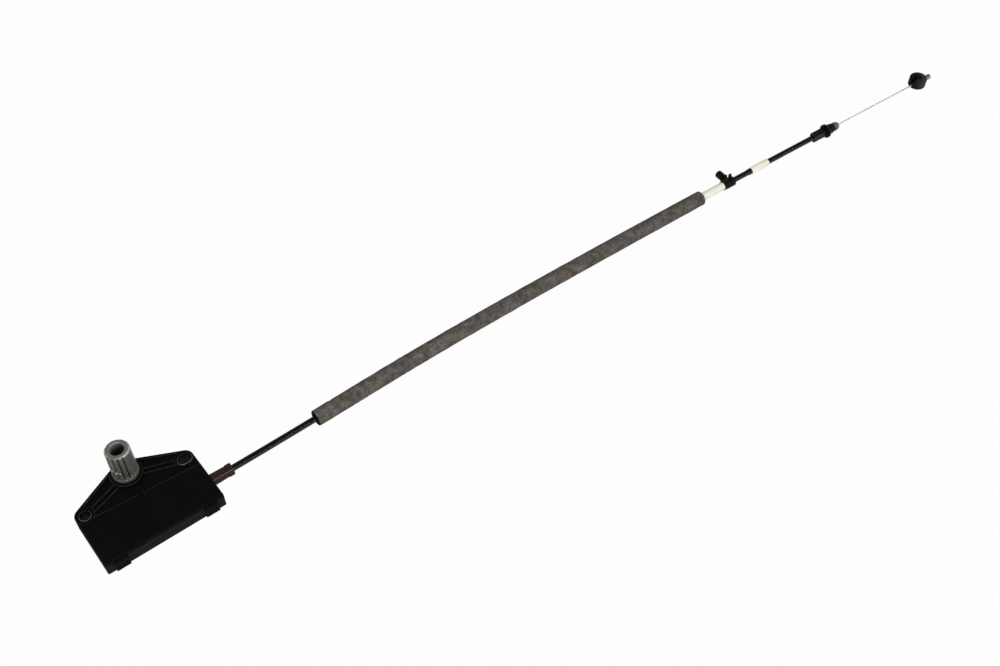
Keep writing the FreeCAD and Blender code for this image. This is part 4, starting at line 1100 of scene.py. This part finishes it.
@dataclass
class ControlCable:
    """Conduit with its outlet, foam sleeve, white sleeves, clip and end fitting."""

    conduit_radius: float = 0.0025
    conduit_length: float = 0.6166
    conduit_fineness: int = 8
    sleeve_gap: float = 0.0003
    near_radius: float = 0.0036
    near_length: float = 0.0283
    far_radius: float = 0.0032
    far_start: float = 0.5332
    far_length: float = 0.0203
    ring_radius: float = 0.0028
    ring_length: float = 0.0033
    collar_radius: float = 0.0042
    collar_length: float = 0.0031
    grip_mm: float = 0.05
    band_ends_mm: float = 0.35
    band_step_mm: float = 1.5
    ring_ends_mm: float = 0.25
    ring_step_mm: float = 0.8
    edge_mm: float = 0.18

    def build(self, route: Route) -> None:
        """Args:
            route: the centre line.
        """
        edge = self.edge_mm
        SoftenedGland("conduit_gland", Body.HOUSING, "gland_plastic", GLAND, GLAND_EDGE, edge).build()
        clip = SoftenedNode("cable_clip", Body.HOUSING, "clip_plastic", ACETAL, ACETAL, edge).build()
        fitting = SoftenedFitting(
            "end_fitting", Body.HOUSING, "fitting_plastic", ACETAL, ACETAL_EDGE, edge).build()
        sleeve = FoamSleeve(bore=self.conduit_radius)
        foam = sleeve.build(route)
        near_start = sleeve.start + sleeve.length + self.sleeve_gap
        near_end = near_start + self.near_length
        near = self.make_band(route, "near_band", near_start, near_end, self.near_radius, NEAR_SLEEVE)
        far_end = self.far_start + self.far_length
        far = self.make_band(route, "far_band", self.far_start, far_end, self.far_radius, FAR_SLEEVE)
        collar = self.make_ring(
            route, "clip_collar", near_end - self.collar_length, near_end,
            self.collar_radius, self.near_radius, "clip_plastic", ACETAL)
        ring = self.make_ring(
            route, "shrink_ring", self.far_start - self.ring_length, self.far_start,
            self.ring_radius, self.conduit_radius, "conduit_sheath", SHEATH)
        conduit = self.make_conduit(route)

    def make_conduit(self, route: Route) -> Object:
        """Build the conduit as a round curve on the route.

        Args:
            route: the centre line.

        Returns:
            The curve's object.
        """
        curve = route.curve("conduit_line")
        curve.bevel_depth = self.conduit_radius
        curve.bevel_resolution = self.conduit_fineness
        curve.use_fill_caps = True
        curve.materials.append(SHEATH.build())
        piece = bpy.data.objects.new("conduit_sheath", curve)
        bpy.context.scene.collection.objects.link(piece)
        hand_over(piece, Body.HOUSING, "conduit_sheath", "conduit")
        return piece

    def make_band(
        self, route: Route, node: str, start: float, end: float, radius: float, finish: Finish,
    ) -> Object:
        """Build one white sleeve with rounded ends.

        Args:
            route: the centre line.
            node: the CAD node that it replaces.
            start: its first end, metres along the route.
            end: its other end.
            radius: its outer radius.
            finish: its plastic.

        Returns:
            The sleeve.
        """
        bore = self.conduit_radius - self.grip_mm * MM
        stations = rounded_stations(
            start, end, radius, bore, self.band_ends_mm * MM, self.band_step_mm * MM)
        piece = new_object("sleeve_" + node, Sleeve(stations).build(route), [finish.build()])
        hand_over(piece, Body.HOUSING, "white_sleeve", node)
        return piece

    def make_ring(
        self, route: Route, name: str, start: float, end: float, outer: float, inner: float,
        slot: str, finish: Finish,
    ) -> Object:
        """Build a short black ring on the cable.

        Args:
            route: the centre line.
            name: the ring's name.
            start: its first end, metres along the route.
            end: its other end.
            outer: its outer radius.
            inner: radius of what it sits on.
            slot: name of its material slot.
            finish: its plastic.

        Returns:
            The ring.
        """
        bore = inner - self.grip_mm * MM
        stations = rounded_stations(
            start, end, outer, bore, self.ring_ends_mm * MM, self.ring_step_mm * MM)
        piece = new_object(name, Sleeve(stations).build(route), [finish.build()])
        hand_over(piece, Body.HOUSING, slot)
        return piece


@dataclass
class WireEnd:
    """Bare stranded wire with its button and ferrule."""

    wire_radius: float = 0.0007
    overlap: float = 0.002
    lay_length: float = 0.009
    strands: int = 6
    strand_sides: int = 7
    steps_per_turn: int = 12
    path_steps: int = 40
    button_edge_mm: float = 0.3
    ferrule_edge_mm: float = 0.1

    def build(self, route: Route) -> None:
        """Args:
            route: the centre line.
        """
        button = SoftenedNode(
            "end_button", Body.WIRE_END, "button_plastic", BUTTON, BUTTON, self.button_edge_mm).build()
        ferrule = SoftenedNode(
            "end_ferrule", Body.WIRE_END, "ferrule_metal", FERRULE, FERRULE, self.ferrule_edge_mm).build()
        low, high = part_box("exposed_wire")
        seat = route.at(route.passed[-1])
        along = seat.to_3x3() @ Vector((1, 0, 0))
        length = (high.x - low.x) / along.x
        shape = bmesh.new()
        # Six strands lie round a seventh of the same thickness
        thin = self.wire_radius / 3
        for strand in range(self.strands + 1):
            off = 0.0 if strand == self.strands else 2 * thin
            self.add_strand(shape, seat, length, off, math.tau * strand / self.strands, thin)
        bmesh.ops.recalc_face_normals(shape, faces=shape.faces)
        piece = new_object("stranded_wire", shape, [WIRE.build()])
        hand_over(piece, Body.WIRE_END, "wire_steel", "exposed_wire")

    def strand_place(self, seat: Matrix, off: float, start: float, passed: float) -> Matrix:
        """Place on a strand that winds round the wire's axis: Z along the strand.

        Args:
            seat: place where the wire leaves the conduit.
            off: distance of the strand from the axis.
            start: its angle at the beginning.
            passed: distance along the wire.

        Returns:
            The placement.
        """
        angle = start + math.tau * passed / self.lay_length
        lean = math.atan2(math.tau * off, self.lay_length)
        spot = Vector((-self.overlap + passed, off * math.cos(angle), off * math.sin(angle)))
        quarter = Matrix.Rotation(math.pi / 2, 4, "Y")
        turn = Matrix.Rotation(angle, 4, "X") @ Matrix.Rotation(lean, 4, "Y") @ quarter
        return seat @ Matrix.Translation(spot) @ turn

    def add_strand(
        self, shape: bmesh.types.BMesh, seat: Matrix, length: float,
        off: float, start: float, thin: float,
    ) -> None:
        """Add one strand.

        Args:
            shape: takes the strand.
            seat: place where the wire leaves the conduit.
            length: length of the wire.
            off: distance of the strand from the axis.
            start: its angle at the beginning.
            thin: its radius.
        """
        steps = round(length / self.lay_length * self.steps_per_turn) if off else 1
        here = self.strand_place(seat, off, start, 0.0)
        ring = bmesh.ops.create_circle(
            shape, cap_ends=True, segments=self.strand_sides, radius=thin, matrix=here)["verts"]
        edges = list({edge for vertex in ring for edge in vertex.link_edges})
        for step in range(1, steps + 1):
            there = self.strand_place(seat, off, start, length * step / steps)
            grown = bmesh.ops.extrude_edge_only(shape, edges=edges)["geom"]
            edges = [item for item in grown if isinstance(item, bmesh.types.BMEdge)]
            edges = [edge for edge in edges if len(edge.link_faces) == 1]
            ring = [item for item in grown if isinstance(item, bmesh.types.BMVert)]
            bmesh.ops.transform(shape, matrix=there @ here.inverted(), verts=ring)
            here = there
        bmesh.ops.holes_fill(shape, edges=edges, sides=0)


@dataclass(frozen=True)
class Lamp:
    """A soft rectangular lamp: where it stands, the point that it lights, its size and its power."""

    name: str
    place: tuple[float, float, float]
    aim: tuple[float, float, float]
    width: float
    height: float
    watts: float

    def build(self) -> None:
        """Put the lamp in the scene."""
        light = bpy.data.lights.new(self.name, "AREA")
        light.shape = "RECTANGLE"
        light.size, light.size_y = self.width, self.height
        light.energy = self.watts
        holder = bpy.data.objects.new(self.name, light)
        towards = Vector(self.aim) - Vector(self.place)
        turn = towards.to_track_quat("-Z", "Y").to_matrix().to_4x4()
        holder.matrix_world = Matrix.Translation(Vector(self.place)) @ turn
        bpy.context.scene.collection.objects.link(holder)


@dataclass
class Studio:
    """Floor, soft light and the camera at the photograph's angle."""

    focal_mm: float = 43.39
    eye: tuple[float, float, float] = (-0.0871, -0.5305, 0.7316)
    forward: tuple[float, float, float] = (0.4007, 0.5016, -0.7668)
    roll_degrees: float = 0.689
    sensor_mm: float = 36.0
    nearest: float = 0.01
    floor_middle: float = 0.35
    floor_reach: float = 3.0
    floor_gap_mm: float = 0.05
    floor_colour: str = "#e8e8e8"
    floor_glow: float = 0.96
    wall_top: float = 0.35
    ceiling_start: float = 0.55
    ceiling_light: float = 0.18
    room_light: float = 0.35
    lamps: tuple[Lamp, ...] = (
        Lamp("key_left", (-0.45, -0.75, 1.45), (0.50, -0.04, 0.0), 1.1, 1.1, 15.0),
        Lamp("front_strip", (0.60, -1.20, 0.66), (0.40, -0.04, 0.0), 1.8, 0.02, 6.0),
    )

    def build(self) -> None:
        """Build the camera, the floor, the world and the lamps."""
        scene = bpy.context.scene
        scene.view_settings.view_transform = "Standard"
        self.place_camera(scene)
        self.make_floor()
        self.make_world(scene)
        for lamp in self.lamps:
            lamp.build()

    def place_camera(self, scene: bpy.types.Scene) -> None:
        """Place the camera.

        Args:
            scene: takes the camera.
        """
        ahead = Vector(self.forward).normalized()
        right = ahead.cross(Vector((0, 0, 1))).normalized()
        up = right.cross(ahead)
        roll = math.radians(self.roll_degrees)
        turned_right = right * math.cos(roll) + up * math.sin(roll)
        turned_up = up * math.cos(roll) - right * math.sin(roll)
        camera = bpy.data.objects.new("camera", bpy.data.cameras.new("camera"))
        camera.data.lens = self.focal_mm
        camera.data.sensor_width = self.sensor_mm
        camera.data.sensor_fit = "HORIZONTAL"
        camera.data.clip_start = self.nearest
        turn = Matrix((turned_right, turned_up, -ahead)).transposed().to_4x4()
        camera.matrix_world = Matrix.Translation(Vector(self.eye)) @ turn
        scene.collection.objects.link(camera)
        scene.camera = camera

    def make_floor(self) -> None:
        """Build the white floor, which shows white to the camera and keeps a faint shadow."""
        shape = bmesh.new()
        middle = Matrix.Translation((self.floor_middle, 0, -self.floor_gap_mm * MM))
        bmesh.ops.create_grid(shape, x_segments=1, y_segments=1, size=self.floor_reach, matrix=middle)
        material = bpy.data.materials.new("white_table")
        material.use_nodes = True
        tree = material.node_tree
        tree.nodes.clear()
        matt = add_node(tree, "ShaderNodeBsdfDiffuse", {"Color": linear(self.floor_colour)})
        glow = add_node(tree, "ShaderNodeEmission", {"Color": linear("#ffffff"), "Strength": 1.0})
        seen = add_node(tree, "ShaderNodeMixShader", {
            0: self.floor_glow, 1: matt.outputs[0], 2: glow.outputs[0]})
        both = add_node(tree, "ShaderNodeMixShader", {
            0: self.seeing_rays(tree), 1: matt.outputs[0], 2: seen.outputs[0]})
        add_node(tree, "ShaderNodeOutputMaterial", {"Surface": both.outputs[0]})
        floor = new_object("floor", shape, [material])

    def seeing_rays(self, tree: NodeTree) -> NodeSocket:
        """Say whether a ray shows the background: from the camera, or by gloss or through glass.

        Args:
            tree: takes the nodes.

        Returns:
            One for such a ray, else nought.
        """
        rays = add_node(tree, "ShaderNodeLightPath")
        gloss = add_node(tree, "ShaderNodeMath", {
            0: rays.outputs["Is Camera Ray"], 1: rays.outputs["Is Glossy Ray"]}, operation="MAXIMUM")
        glass = add_node(tree, "ShaderNodeMath", {
            0: gloss.outputs[0], 1: rays.outputs["Is Transmission Ray"]}, operation="MAXIMUM")
        return glass.outputs[0]

    def make_world(self, scene: bpy.types.Scene) -> None:
        """Build the world: white walls under a dark ceiling, with a plain dimmer light on matt surfaces.

        Args:
            scene: takes the world.
        """
        world = bpy.data.worlds.new("studio")
        world.use_nodes = True
        tree = world.node_tree
        tree.nodes.clear()
        direction = add_node(tree, "ShaderNodeTexCoord")
        parts = add_node(tree, "ShaderNodeSeparateXYZ", {0: direction.outputs["Generated"]})
        walls = add_node(tree, "ShaderNodeMapRange", {
            "Value": parts.outputs["Z"], "From Min": self.wall_top, "From Max": self.ceiling_start,
            "To Min": 1.0, "To Max": self.ceiling_light,
        }, interpolation_type="SMOOTHSTEP")
        white = linear("#ffffff")
        seen = add_node(tree, "ShaderNodeBackground", {"Color": white, "Strength": walls.outputs[0]})
        dim = add_node(tree, "ShaderNodeBackground", {"Color": white, "Strength": self.room_light})
        both = add_node(tree, "ShaderNodeMixShader", {
            0: self.seeing_rays(tree), 1: dim.outputs[0], 2: seen.outputs[0]})
        add_node(tree, "ShaderNodeOutputWorld", {"Surface": both.outputs[0]})
        scene.world = world


def main() -> None:
    """Build the studio and every sub-assembly in order."""
    logging.basicConfig(level=logging.INFO, format="%(name)s: %(message)s")
    Studio().build()
    route = Route().read()
    ControlCable().build(route)
    WireEnd().build(route)
    Housing().build()
    Drive().build()


if __name__ == "__main__":
    main()
